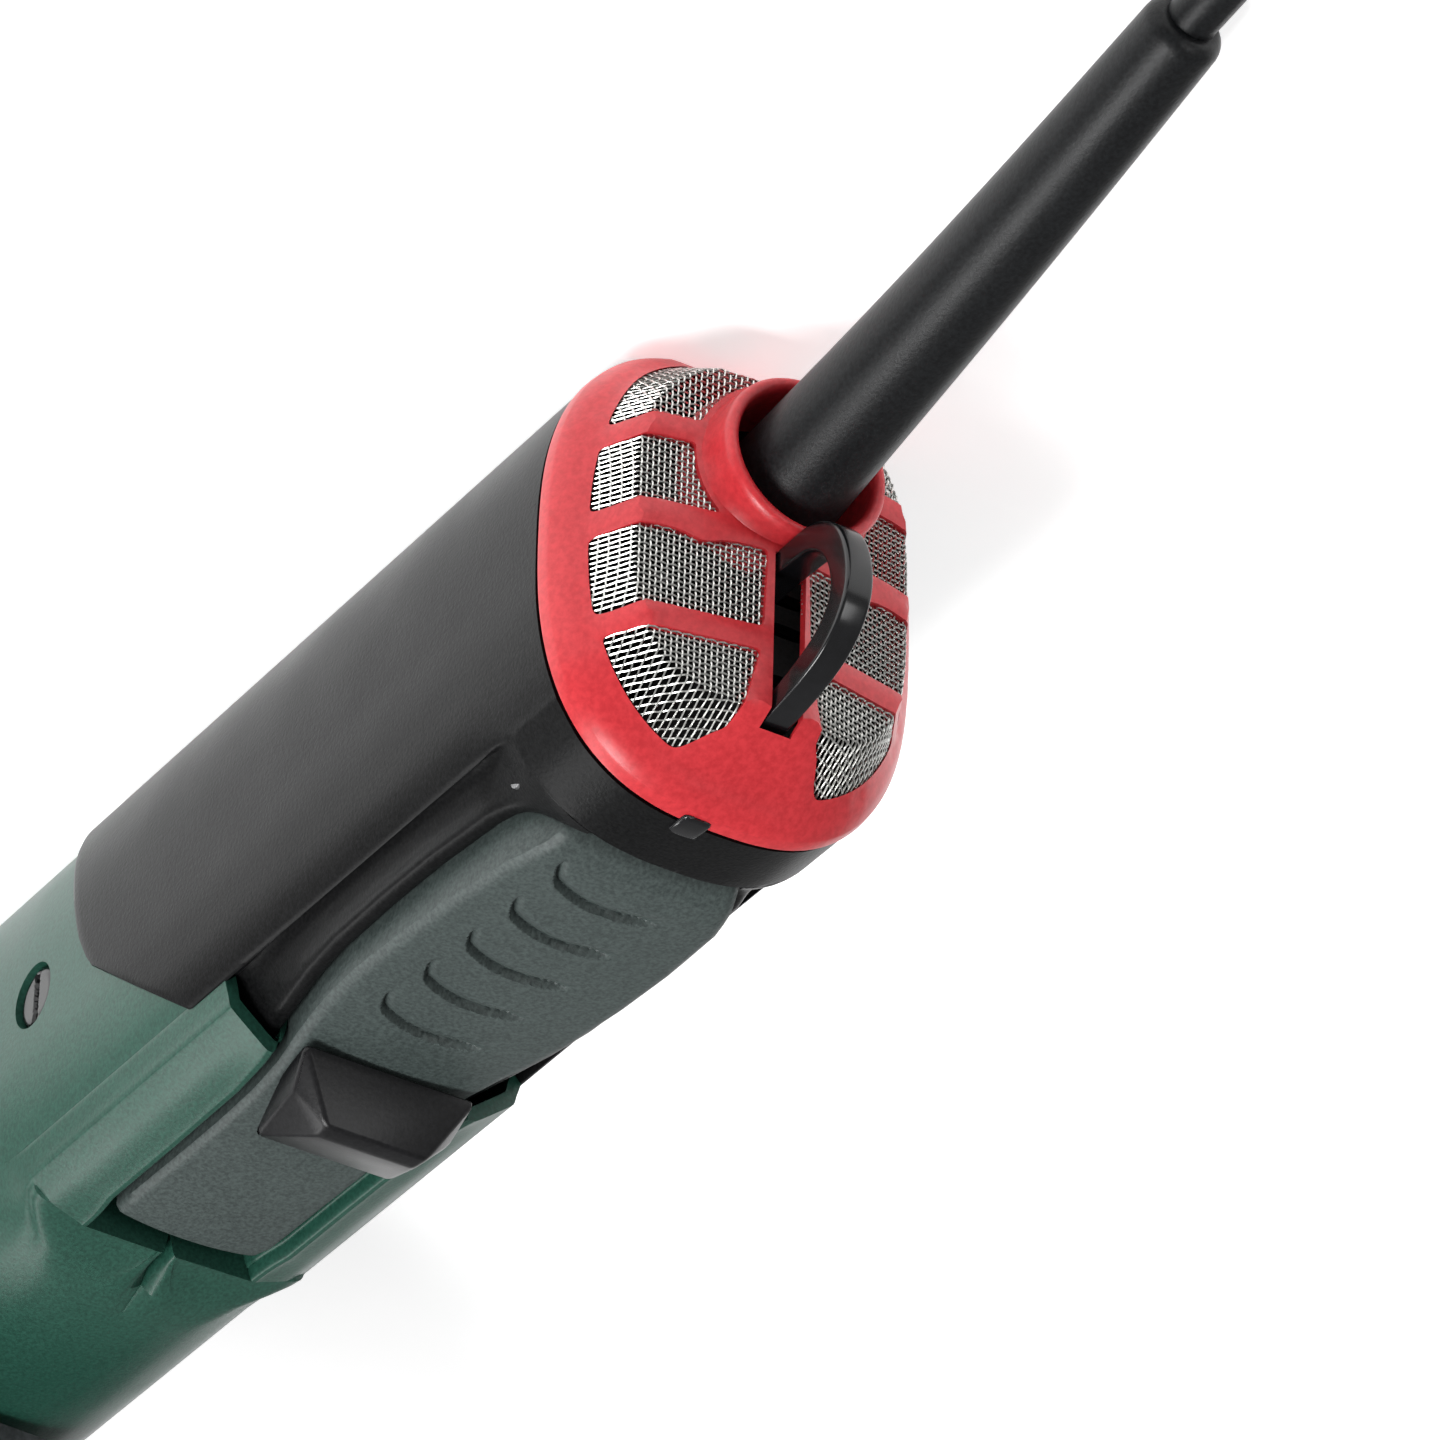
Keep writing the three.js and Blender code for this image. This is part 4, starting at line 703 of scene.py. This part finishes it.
side_rows = [
    lambda p: np.column_stack([np.full(len(p), 3.0), squeezed(p, -0.12)]),
    lambda p: np.column_stack([np.full(len(p), 1.4), squeezed(p, -0.3)]),
    lambda p: np.column_stack([np.full(len(p), 0.75), squeezed(p, -0.25)]),
    lambda p: np.column_stack([np.full(len(p), 0.35), squeezed(p, 0.3)]),
    lambda p: np.column_stack([np.full(len(p), 0.35), squeezed(p, 2.0)]),
    lambda p: np.column_stack([np.full(len(p), 2.2), squeezed(p, 2.4)]),
]
frame_red = shell_of("filter_frame_red", loops, rim, frame_height, 1.5, side_rows, 1.5, FINISHES["red"])
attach(frame_red, "root")
print("frame", len(frame_red.data.polygons), "faces")

# %% [markdown]
# ## The collar
# A collar stands round the sleeve and stops short at the back, where a slit lets the sleeve spring in. Its
# profile, a wall with a rolled lip and a flared foot, is carried round an arc with a gap in it.

# %% Sweep the collar
gap_half = np.radians(7.5)
arc = np.linspace(-np.pi / 2 + gap_half, 3 * np.pi / 2 - gap_half, 110)
profile = np.array([
    # radius, height
    (12.6, 12), (12.6, 20), (12.6, 24.2), (12.75, 25.3), (13.2, 26.0), (13.8, 26.25), (14.4, 26.0), (14.8, 25.3),
    (14.85, 24.2), (14.8, 22.6), (15.0, 21.4), (15.6, 20.2), (16.4, 19.2), (17.2, 17.6), (16.2, 15.5), (15.0, 12),
])
collar_rows = np.stack([
    np.stack([
        profile[:, 1] - 0.34 * np.maximum(profile[:, 0] - 15, 0) * np.abs(np.cos(a))
        - 0.1 * (profile[:, 1] < 22) * 16 * np.abs(np.cos(a)),
        profile[:, 0] * np.cos(a), COLLAR_Z + profile[:, 0] * np.sin(a),
    ], axis=1) for a in arc
])
collar = skin("sleeve_collar", placed(collar_rows), FINISHES["red"], angle=50)
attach(collar, "root")
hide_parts("filter_frame")

# %% [markdown]
# ## The woven steel mesh
# The windows hold a plain weave of fine steel wire, about one wire a millimetre. The weave is modelled as
# wire, since light catches the top of each crossing: each wire is a four-sided rod that rises and falls by a
# wire's radius from one crossing to the next, and each stops just under the red frame.

# %% Weave the wires
PITCH, WIRE = 0.95, 0.17


def crossings(loop, level, axis):
    """Where the line at a level of one axis enters and leaves a loop, widened by 0.8 mm."""
    a, b = loop, np.roll(loop, -1, axis=0)
    hit = (a[:, axis] > level) != (b[:, axis] > level)
    other = 1 - axis
    share = (level - a[hit, axis]) / (b[hit, axis] - a[hit, axis])
    at = a[hit, other] + share * (b[hit, other] - a[hit, other])
    return (at.min() - 0.8, at.max() + 0.8) if len(at) > 1 else None


def woven(loop):
    """Wires of one window: for each line, points every half pitch at the dome's height less 1.1 mm, raised and
    lowered by one wire radius as cos(pi t / pitch), in opposite step for neighbours and for the two directions."""
    wires = []
    for axis in (0, 1):
        low, high = loop[:, axis].min() - 0.6, loop[:, axis].max() + 0.6
        for line in np.arange(np.ceil(low / PITCH), np.floor(high / PITCH) + 1):
            level = np.clip(line * PITCH, loop[:, axis].min() + 0.02, loop[:, axis].max() - 0.02)
            span = crossings(loop, level, axis)
            if span is None:
                continue
            steps = np.arange(np.floor(span[0] / PITCH * 2), np.ceil(span[1] / PITCH * 2) + 1)
            t = steps * PITCH / 2
            fixed = np.full(len(t), line * PITCH)
            flat = np.column_stack([t, fixed] if axis else [fixed, t])
            wave = np.cos(np.pi * (steps / 2 + line + axis)) * WIRE
            height = dome(flat[:, 0], flat[:, 1]) - 1.15 + wave
            wires.append(np.column_stack([height, flat]))
    return wires


def wire_mesh(name, wires, sides=4):
    """All wires as closed rods in one mesh: four points round each path point, square to the path."""
    points, faces, start = [], [], 0
    for wire in wires:
        if len(wire) < 3:
            continue
        rows = tube(wire, WIRE, sides, up=(1, 0, 0.01))
        points.append(rows.reshape(-1, 3))
        faces.append(np.array(skin_faces(len(wire), sides, start=start)))
        last = start + (len(wire) - 1) * sides
        faces.append(np.array([[start + 3, start + 2, start + 1, start], [last, last + 1, last + 2, last + 3]]))
        start += len(wire) * sides
    points, faces = placed(np.vstack(points)), np.vstack(faces).tolist()
    return link_mesh(name, points, facing_out(points, faces), FINISHES["mesh"], 80)


for name, side_windows, node_name in (
    ("wire_mesh_left", windows[:4], "filter_mesh_left"), ("wire_mesh_right", windows[4:], "filter_mesh_right"),
):
    weave = wire_mesh(name, [wire for loop in side_windows for wire in woven(loop)])
    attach(weave, "root")
    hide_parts(node_name)
    print(name, 2 * len(weave.data.polygons), "triangles")

# %% [markdown]
# ## The lanyard eye
# A glossy black loop stands up out of the cap beside the collar. A rounded-rectangle section is carried along
# the loop's middle line, and both feet go down into the cap.

# %% Sweep the eye
eye_line = along([
    [4, 0, 3.9], [14, 0, 3.9], [24, 0, 3.9], [30.5, 0, 4.4], [36, 0, 8.0], [38.8, 0, 14], [38.6, 0, 20.0],
    [34.5, 0, 25.0], [27, 0, 28.2], [16, 0, 30.4], [4, 0, 31.5],
], steps=110)
tangent = np.gradient(eye_line, axis=0)
tangent /= np.linalg.norm(tangent, axis=1, keepdims=True)
across_band = np.column_stack([tangent[:, 2], np.zeros(len(tangent)), -tangent[:, 0]])
band_half = 2.2 + 0.5 * smoothstep(20, 40, eye_line[:, 0])
section = rounded_loop(1, 1, 9, 40)
EYE_HALF_THICK = 2.45
in_plane = section[None, :, :1] * band_half[:, None, None] * across_band[:, None]
eye_rows = eye_line[:, None] + in_plane + section[None, :, 1:] * np.array([0, EYE_HALF_THICK, 0])
eye = skin("lanyard_loop", placed(eye_rows), FINISHES["plastic"], angle=50)
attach(eye, "root")
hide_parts("lanyard_eye")

# %% [markdown]
# ## The soft grip
# The rear housing is one soft-grip shell round the body. Its section is the outline, but beside the paddle it
# has a raised band and, above the band, a hollow for the fingertips. Each row of the shell is a smooth curve
# through a few control points that are worked out for that place along the tool, so the band follows the
# paddle's edge. The front edge slants, so the rows lean more and more towards it.

# %% Carry a thin wall along the tool
def spline_rows(controls, count):
    """Catmull-Rom curves through each row of control points, all rows at once, with count points in each."""
    before = 2 * controls[:, :1] - controls[:, 1:2]
    after = 2 * controls[:, -1:] - controls[:, -2:-1]
    ends = np.concatenate([before, controls, after], axis=1)
    spans = controls.shape[1] - 1
    u = np.linspace(0, spans, count)
    i = np.minimum(u.astype(int), spans - 1)
    t = (u - i)[None, :, None]
    a, b, c, d = ends[:, i], ends[:, i + 1], ends[:, i + 2], ends[:, i + 3]
    return (2 * b + (c - a) * t + (2 * a - 5 * b + 4 * c - d) * t**2 + (3 * b - a - 3 * c + d) * t**3) / 2


def wall(name, outer, inner, material, angle=35):
    """A closed wall between two grids of open rows: outer skin, inner skin, two long edges, two ends."""
    rows, count, _ = outer.shape
    loops = np.concatenate([outer, inner[:, ::-1]], axis=1)
    faces = skin_faces(rows, 2 * count)
    j = np.arange(count - 1)
    for base, flip in ((0, False), ((rows - 1) * 2 * count, True)):
        strip = np.stack([base + j, base + j + 1, base + 2 * count - 2 - j, base + 2 * count - 1 - j], axis=1)
        faces += (strip if flip else strip[:, ::-1]).tolist()
    points = placed(loops.reshape(-1, 3))
    return link_mesh(name, points, facing_out(points, faces), material, angle)


# %% Follow the paddle's plan
PLAN = np.array([
    # distance in front of the rear face, paddle's half width
    (14.5, 12.5), (15.5, 14.6), (18, 16.3), (23, 18.0), (30, 19.6), (46, 20.7), (60, 20.9), (76, 20.5), (86, 19.4),
    (97.5, 17.3), (108, 15.4), (118, 14.5), (140, 14.3), (160, 14.3), (165, 13.6), (168, 11.0),
])
CLOSED_X, OPEN_END_X = -13.1, -170.6


def paddle_half(x):
    """The paddle's half width at x."""
    return np.interp(-np.asarray(x, float), PLAN[:, 0], PLAN[:, 1])


def pocket_half(x):
    """The pocket's half width: the paddle's, and a gap of 1 mm."""
    return np.interp(-np.asarray(x, float), PLAN[:, 0], np.maximum(PLAN[:, 1], 13.4)) + 1.0


# %% Work out the grip's sections
def grip_edge(z):
    """Where the grip ends in front, at each height: far forward along the back, drawn in beside the paddle."""
    heights = [-41, -33, -16, -2, 5, 27, 32.5, 43]
    return np.interp(z, heights, [-158.6, -158, -151, -146, -142, -114, -110, -109])


rim_places = [0.35, 1.2, 3, 5, 7.5, 10, 12, 13.0]
nominal = -np.concatenate([rim_places, np.linspace(13.2, 30, 16), np.linspace(32, 143, 76)])
opened = nominal < CLOSED_X
lip_x = nominal + smoothstep(-70, -143, nominal) * (grip_edge(32.0) + 143)
w = np.where(opened, pocket_half(lip_x), 0.06)
band = smoothstep(-12.5, -27, nominal)  # the band grows out of the plain outline behind the paddle


def grip_controls(w, band, inset):
    """Control points of the left half, from the lip round to the middle of the back."""
    lip_z = 32.6 - 0.6 * smoothstep(60, 110, -lip_x)
    raised = np.stack([
        np.stack([w, lip_z - 1.6], 1), np.stack([w + 0.25, lip_z - 0.35], 1),
        np.stack([w + 1.2, lip_z + 0.1], 1),
        np.stack([w + 2.6, lip_z - 0.1], 1), np.stack([w + 3.5, lip_z - 1.0], 1),
        np.stack([0.62 * (w + 4.2) + 9.6, lip_z - 3.6], 1),
        np.stack([0.45 * (w + 4.2) + 16.3, lip_z - 7.6], 1),
    ], axis=1)
    pushed_out = np.maximum(w - 0.06, 0)[:, None] * np.array([1, 0.95, 0.8, 0.55, 0.3, 0.1, 0])
    plain_y = np.array([0, 1.5, 6, 12, 18, 24, 28.4]) + pushed_out
    share = np.clip(plain_y / HALF_WIDTH, 0, 0.999)
    plain = np.stack([plain_y, HALF_HEIGHT * (1 - share**SQUARENESS) ** (1 / SQUARENESS)], axis=-1)
    near = plain * (1 - band[:, None, None]) + raised * band[:, None, None]
    t = np.radians(np.array([33, 25, 16, 7, -3, -13, -24, -35, -45, -56, -66]))
    round_part = np.broadcast_to(outline(t), (len(w), len(t), 2)).copy()
    round_part[:, 0, 0] -= 0.9 * band
    back = np.array([[17.0, BACK_Z], [11, BACK_Z], [5.5, BACK_Z], [0.0, BACK_Z]])
    controls = np.concatenate([near, round_part, np.broadcast_to(back, (len(w), 4, 2))], axis=1)
    middle = np.array([0, 0.0])
    reach = np.linalg.norm(controls - middle, axis=2, keepdims=True)
    return controls * (1 - inset / reach)


def mirrored(half):
    """A left half and its mirror image as one open row, from the left lip to the right lip."""
    return np.concatenate([half, half[:, -2::-1] * [-1, 1]], axis=1)


def grip_rows(inset):
    """Sections at every nominal place, leaned to the slanted edge more and more from 70 to 143 mm."""
    half = spline_rows(grip_controls(w, band, inset), 120)
    section = mirrored(half)
    along_crease = smoothstep(-16, -24, nominal) * smoothstep(-92, -80, nominal)
    crease = 0.35 * np.exp(-(((section[..., 1] - 2.6) / 0.55) ** 2)) * along_crease[:, None]
    section = section * (1 - crease[..., None] / np.linalg.norm(section, axis=2, keepdims=True) * (inset == 0))
    lean = smoothstep(-70, -143, nominal)[:, None] * (grip_edge(section[..., 1]) + 143)
    x = nominal[:, None] + lean
    return np.concatenate([x[..., None], section], axis=2)


grip_outer, grip_inner = grip_rows(0.0), grip_rows(2.6)
# The front edge is rolled over: three more rows go forward and in.
edge_rows = []
for ahead, sink in ((0.9, 0.25), (1.5, 0.9), (1.7, 1.7)):
    row = grip_outer[-1].copy()
    row[:, 0] -= ahead
    row[:, 1:] *= 1 - sink / np.linalg.norm(row[:, 1:], axis=1, keepdims=True)
    edge_rows.append(row)
grip_outer = np.concatenate([grip_outer, np.array(edge_rows)])
inner_edge_rows = np.repeat(grip_inner[-1:], 3, axis=0) - np.array([0.9, 0, 0])
behind = np.array([[[0.3, 0, 0]], [[0.15, 0, 0]], [[0.0, 0, 0]]])
grip_inner = np.concatenate([grip_inner, inner_edge_rows + behind])
grip = wall("soft_grip", grip_outer, grip_inner, FINISHES["grip"], angle=30)
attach(grip, "root")
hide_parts("rear_shell_left", "rear_shell_right")
print("grip", len(grip.data.polygons), "faces")

# %% [markdown]
# ## The grip's bulkhead
# Behind the filter a dark plate closes the housing, with louvres that let the air through. It gives the mesh
# its dark ground. The same sheet builder makes it as the frame.

# %% Make the bulkhead
def slot_loop(y, z, half_y, half_z):
    loop = rounded_loop(half_y, half_z, 5, 40)
    return loop + [y, z]


LOUVRE_Y = 14.5
LOUVRE_HEIGHTS = (-24, -18, -12, -6, 4, 10, 16, 22)
louvres = [slot_loop(side * LOUVRE_Y, z, 6.5, 1.3) for side in (1, -1) for z in LOUVRE_HEIGHTS]
cord_way = np.stack([8.2 * np.cos(bore_angle), -10.6 + 8.2 * np.sin(bore_angle)], axis=1)
bulk_rim = outline(angles, 3.0)
bulk_rim = bulk_rim[np.concatenate([[True], np.linalg.norm(np.diff(bulk_rim, axis=0), axis=1) > 0.15])]
plate_rows = [
    lambda p: np.column_stack([np.full(len(p), -8.0), p]),
    lambda p: np.column_stack([np.full(len(p), -9.5), p]),
]
bulkhead = shell_of(
    "intake_bulkhead", [*louvres, cord_way], bulk_rim, lambda p: np.full(len(p), -7.5), 2.2, plate_rows,
    2.5, FINISHES["grip"],
)
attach(bulkhead, "root")

# %% [markdown]
# ## The motor housing
# The green housing runs on under the grip. It has the same outline a little smaller, and a flat strip along
# each side of the paddle that catches the light. Ventilation slots and the two brush caps' holes are cut with
# a boolean, because their edges cross many rows.

# %% Work out the green sections
pocket_end = [168.5, 170.5, 170.8, 173, 176, 180]
green_x = -np.concatenate([np.linspace(104, 166, 32), pocket_end, np.linspace(186, 263, 24)])
open_pocket = green_x > OPEN_END_X
green_w = np.where(open_pocket, pocket_half(green_x) + 0.4, 0.06)
strip = smoothstep(-184, -171, green_x)


SHOULDER = [(23.0, 34.6), (26.6, 31.7), (27.3, 30.8), (27.7, 29.2), (28.6, 26.0)]  # y, z beside the strip


def green_controls(w, strip, inset):
    """Control points of the left half: pocket wall, flat strip, shallow hollow, then the outline."""
    size = 1.5
    flat = np.stack([
        np.stack([w, np.full_like(w, 30.0)], 1), np.stack([w + 0.2, np.full_like(w, 33.4)], 1),
        np.stack([w + 1.0, np.full_like(w, 36.6)], 1), np.stack([w + 1.9, np.full_like(w, 37.0)], 1),
        np.stack([w + 2.9, np.full_like(w, 36.6)], 1),
        *(np.stack([np.full_like(w, y), np.full_like(w, z)], 1) for y, z in SHOULDER),
    ], axis=1)
    plain_y = np.array([0, 1.2, 3, 6, 10, 15, 20, 23, 25.5, 28.5]) * np.ones((len(w), 1))
    plain_y = plain_y + (w - 0.06)[:, None] * np.array([1, 0.9, 0.8, 0.6, 0.4, 0.25, 0.1, 0.0, 0.0, 0.0])
    share = np.clip(plain_y / (HALF_WIDTH - size), 0, 0.999)
    plain = np.stack([plain_y, (HALF_HEIGHT - size) * (1 - share**SQUARENESS) ** (1 / SQUARENESS)], axis=-1)
    near = plain * (1 - strip[:, None, None]) + flat * strip[:, None, None]
    t = np.radians(np.array([34, 26, 17, 8, -2, -12, -23, -34, -45, -56, -66]))
    round_part = np.broadcast_to(outline(t, size), (len(w), len(t), 2))
    back = np.array([[17.0, BACK_Z + size], [11, BACK_Z + size], [5.5, BACK_Z + size], [0.0, BACK_Z + size]])
    controls = np.concatenate([near, round_part, np.broadcast_to(back, (len(w), 4, 2))], axis=1)
    return controls * (1 - inset / np.linalg.norm(controls, axis=2, keepdims=True))


def green_rows(inset):
    section = mirrored(spline_rows(green_controls(green_w, strip, inset), 130))
    x = np.broadcast_to(green_x[:, None, None], (*section.shape[:2], 1))
    return np.concatenate([x, section], axis=2)


green = wall("motor_shell_green", green_rows(0.0), green_rows(2.6), FINISHES["green"], angle=28)


# %% Cut the vents and the brush holes
def cutter(rows):
    rows = np.asarray(rows, float)
    made = skin("cutter", placed(rows), angle=180)
    return made


def cut_out(piece, cutters):
    """The piece less its cutters, by a manifold boolean; the cutters are removed again."""
    for tool in cutters:
        mod = piece.modifiers.new("cut", "BOOLEAN")
        mod.object, mod.operation, mod.solver = tool, "DIFFERENCE", "MANIFOLD"
    deps = bpy.context.evaluated_depsgraph_get()
    mesh = bpy.data.meshes.new_from_object(piece.evaluated_get(deps))
    piece.modifiers.clear()
    old = piece.data
    piece.data = mesh
    bpy.data.meshes.remove(old)
    for tool in cutters:
        bpy.data.objects.remove(tool)
    mesh.polygons.foreach_set("use_smooth", np.ones(len(mesh.polygons), bool))
    mesh.set_sharp_from_angle(angle=np.radians(28))


vent_tools = []
for side in (1, -1):
    for i in range(6):
        loop = rounded_loop(1.6, 9 - 0.9 * abs(i - 2.5), 4, 28)
        x = -252 + i * 6.4
        vent_tools.append(cutter([
            np.column_stack([x + loop[:, 0], np.full(28, side * y), loop[:, 1] - 2]) for y in (27, 40)
        ]))
    loop = rounded_loop(6.0, 6.0, 2, 40)
    vent_tools.append(cutter([
        np.column_stack([-164.5 + loop[:, 0], np.full(40, side * y), loop[:, 1]]) for y in (26, 40)
    ]))
cut_out(green, vent_tools)
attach(green, "root")
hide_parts("motor_housing")
print("green shell", len(green.data.polygons), "faces")

# %% [markdown]
# ## The brush caps
# A slotted screw cap closes each brush hole. A disc profile turned round the hole's axis makes it, with a slot
# pressed down across its face.

# %% Turn the brush caps
turns = np.linspace(0, 2 * np.pi, 48, endpoint=False)
radii = np.concatenate([np.linspace(0.05, 4.2, 14), [4.8, 5.3, 5.7, 5.7]])
rise = np.concatenate([np.zeros(14), [-0.1, -0.35, -0.9, -3.5]])
for name, side in (("brush_cap_left", 1), ("brush_cap_right", -1)):
    rows = []
    for r, h in zip(radii, rise):
        a, b = r * np.cos(turns), r * np.sin(turns)
        slot = -1.1 * (1 - smoothstep(0.55, 0.8, np.abs(a))) * (r < 4.3)
        rows.append(np.column_stack([-164.5 + a, side * (31.6 + h + slot), b]))
    brush_cap = skin(name, placed(rows), FINISHES["plastic"], angle=35)
    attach(brush_cap, "root")

# %% [markdown]
# ## The paddle
# The paddle is a long channel that pivots behind the cap end. Its face is gently crowned and carries five
# finger grooves. Rows across the channel go from one flank over the face to the other, and the grooves are
# pressed into the face by a depth worked out at every grid point.

# %% Work out the paddle
FACE = np.array([
    # distance in front of the rear face, height of the face's middle
    (14.5, 33.0), (15.0, 36.0), (16.2, 38.4), (18.4, 40.3), (21.5, 41.3), (26, 41.5), (40, 40.7), (60, 39.4), (80, 38.0),
    (92, 37.1), (100, 36.9), (112, 37.6), (130, 38.2), (160, 37.8), (164.5, 37.2), (167, 35.2), (168, 32.5),
])
GROOVE_FIRST, GROOVE_PITCH, GROOVES = -32.0, 13.3, 5
paddle_x = -np.concatenate([
    np.linspace(14.5, 17.5, 7), np.linspace(18, 26, 14), np.linspace(26.4, 92, 190),
    np.linspace(93, 160, 40), np.linspace(161, 168, 12),
])


def face_height(x):
    return np.interp(-x, FACE[:, 0], FACE[:, 1])


def groove_depth(x, y):
    """Depth of the five grooves. Each follows x = start + 0.028 y^2, hooked back at its left end; it is steep in
    front and eases back over 3 mm behind, and it thins out at both ends."""
    line = 0.028 * y**2 + 0.36 * np.maximum(y - 10.3, 0) ** 2
    depth = np.zeros_like(x)
    for i in range(GROOVES):
        d = x - (GROOVE_FIRST - i * GROOVE_PITCH + line)
        steep = smoothstep(-0.75, -0.15, d)
        eased = np.clip(1 - d / 3.4, 0, 1) ** 1.5
        depth = np.maximum(depth, np.where(d < 0.25, steep, eased))
    return 1.55 * depth * smoothstep(-10.5, -4.5, y) * (1 - smoothstep(12.6, 13.6, y))


def paddle_rows(inset):
    """Rows of the channel: foot of a flank at z = 26, up the flank, round the edge, over the crowned face."""
    half = paddle_half(paddle_x) - inset
    top = face_height(paddle_x) - inset
    u = np.concatenate([np.linspace(-1, -0.78, 5), np.linspace(-0.76, 0.76, 86), np.linspace(0.78, 1, 5)])
    crown = 1.3 * np.abs(u) ** 2.2
    face_y = half[:, None] * u
    face_z = top[:, None] - crown
    round_off = 0.9 * smoothstep(0.93, 1.0, np.abs(u))
    face_z = face_z - round_off
    if inset == 0:
        face_z = face_z - groove_depth(np.broadcast_to(paddle_x[:, None], face_y.shape), face_y)
    share = np.linspace(0, 1, 12)[:-1]
    edge_z = face_z[:, :1]
    flank_z = 26.4 + (edge_z - 26.4) * share
    flank_y = half[:, None] + 0.25 * (1 - share)
    left = np.stack([-flank_y, flank_z], axis=-1)
    right = np.stack([flank_y[:, ::-1], (26.4 + (face_z[:, -1:] - 26.4) * share)[:, ::-1]], axis=-1)
    section = np.concatenate([left, np.stack([face_y, face_z], axis=-1), right], axis=1)
    x = np.broadcast_to(paddle_x[:, None, None], (*section.shape[:2], 1))
    rows = np.concatenate([x, section], axis=2)
    if inset:
        rows[..., 0] = np.clip(rows[..., 0], -168 + inset, -14.5 - inset)
    return rows


paddle = wall("paddle_channel", paddle_rows(0.0), paddle_rows(2.4), FINISHES["paddle"], angle=38)
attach(paddle, "paddle")
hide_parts("paddle")
print("paddle", 2 * len(paddle.data.polygons), "triangles")

# %% [markdown]
# ## The lock-off lever
# The lever is a faceted black block: a leaning rear face, two side facets, and a narrow crest. Its corners are
# few, so they are written down, their convex hull gives the flat facets, and a bevel breaks the edges.

# %% Build the lever
import bmesh

corners = np.array([
    (-97.7, 16.4, 37.4), (-97.9, 15.6, 38.6), (-101.4, 9.4, 49.2), (-103.6, 15.0, 43.4), (-103.8, 15.5, 37.4),
    (-105.0, 9.2, 49.2), (-119.3, 12.8, 43.2), (-119.3, 12.8, 42.2), (-108.0, 14.8, 37.6),
])
corners = np.vstack([corners, corners * [1, -1, 1]])
bm = bmesh.new()
for corner in placed(corners):
    bm.verts.new(corner)
bmesh.ops.convex_hull(bm, input=bm.verts)
bmesh.ops.dissolve_limit(bm, angle_limit=np.radians(2), verts=bm.verts, edges=bm.edges)
bmesh.ops.recalc_face_normals(bm, faces=bm.faces)
bmesh.ops.bevel(bm, geom=bm.edges, offset=0.7 * MM, segments=3, profile=0.5, affect="EDGES")
mesh = bpy.data.meshes.new("lock_off_lever")
bm.to_mesh(mesh)
bm.free()
mesh.polygons.foreach_set("use_smooth", np.ones(len(mesh.polygons), bool))
mesh.set_sharp_from_angle(angle=np.radians(50))
lever = bpy.data.objects.new("lock_off_lever", mesh)
bpy.context.scene.collection.objects.link(lever)
mesh.materials.append(FINISHES["lever"])
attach(lever, "lock_lever")
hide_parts("lock_lever")

# %% [markdown]
# ## The cap's catch
# A small black tab on the rear housing snaps into a notch in the cap's rim.

# %% Make the catch
loop = rounded_loop(2.6, 0.9, 4, 32)
catch_rows = [
    np.column_stack([np.full(32, x), 4.0 + loop[:, 0] * s, 42.35 + loop[:, 1] * s])
    for x, s in ((-2.5, 0.85), (-2.2, 1), (1.7, 1), (2.3, 0.9), (2.5, 0.7))
]
catch = skin("cap_catch", placed(catch_rows), FINISHES["plastic"], angle=40)
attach(catch, "root")

# %% [markdown]
# ## The parts that keep their CAD shape
# Screws, bearings, gears, the disc and the die-cast head are already the right shape in the frame. Only
# their finish changes, so each node's slots take one of the finishes above.

# %% Give the CAD parts their finishes
KEPT = {
    "steel": [
        "spindle", "backing_flange", "clamping_nut", "ring_gear", "pinion", "armature_shaft", "motor_bearing_front",
        "motor_bearing_rear", "spindle_bearing_lower", "spindle_bearing_upper", "cover_screw_1", "cover_screw_2",
        "cover_screw_3", "cover_screw_4", "clamp_screw_left", "clamp_screw_right", "paddle_pin", "lock_pin",
        "lock_spring", "paddle_spring", "spindle_lock_spring", "guard_lever", "side_handle_stud", "plug_pin_left",
        "plug_pin_right",
    ],
    "iron": ["wheel_guard", "stator", "armature_core"],
    "alloy": ["gear_housing", "bearing_cover"],
    "bronze": ["commutator", "brush_holder_left", "brush_holder_right"],
    "carbon": ["carbon_brush_left", "carbon_brush_right"],
    "abrasive": ["grinding_disc"],
    "rubber": ["side_handle_grip"],
    "plastic": [
        "cord_clamp", "electronics_module", "fan", "spindle_lock_button", "switch_body", "switch_plunger",
    ],
}
for finish_name, names in KEPT.items():
    for name in names:
        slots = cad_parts[name].data.materials
        for i in range(len(slots)):
            slots[i] = FINISHES[finish_name]
        if not len(slots):
            slots.append(FINISHES[finish_name])
# The two springs each get a mesh of their own, shared with no other part.
lock_spring, paddle_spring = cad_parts["spindle_lock_spring"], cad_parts["paddle_spring"]
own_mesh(lock_spring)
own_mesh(paddle_spring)
print(sum(len(names) for names in KEPT.values()), "CAD parts finished")
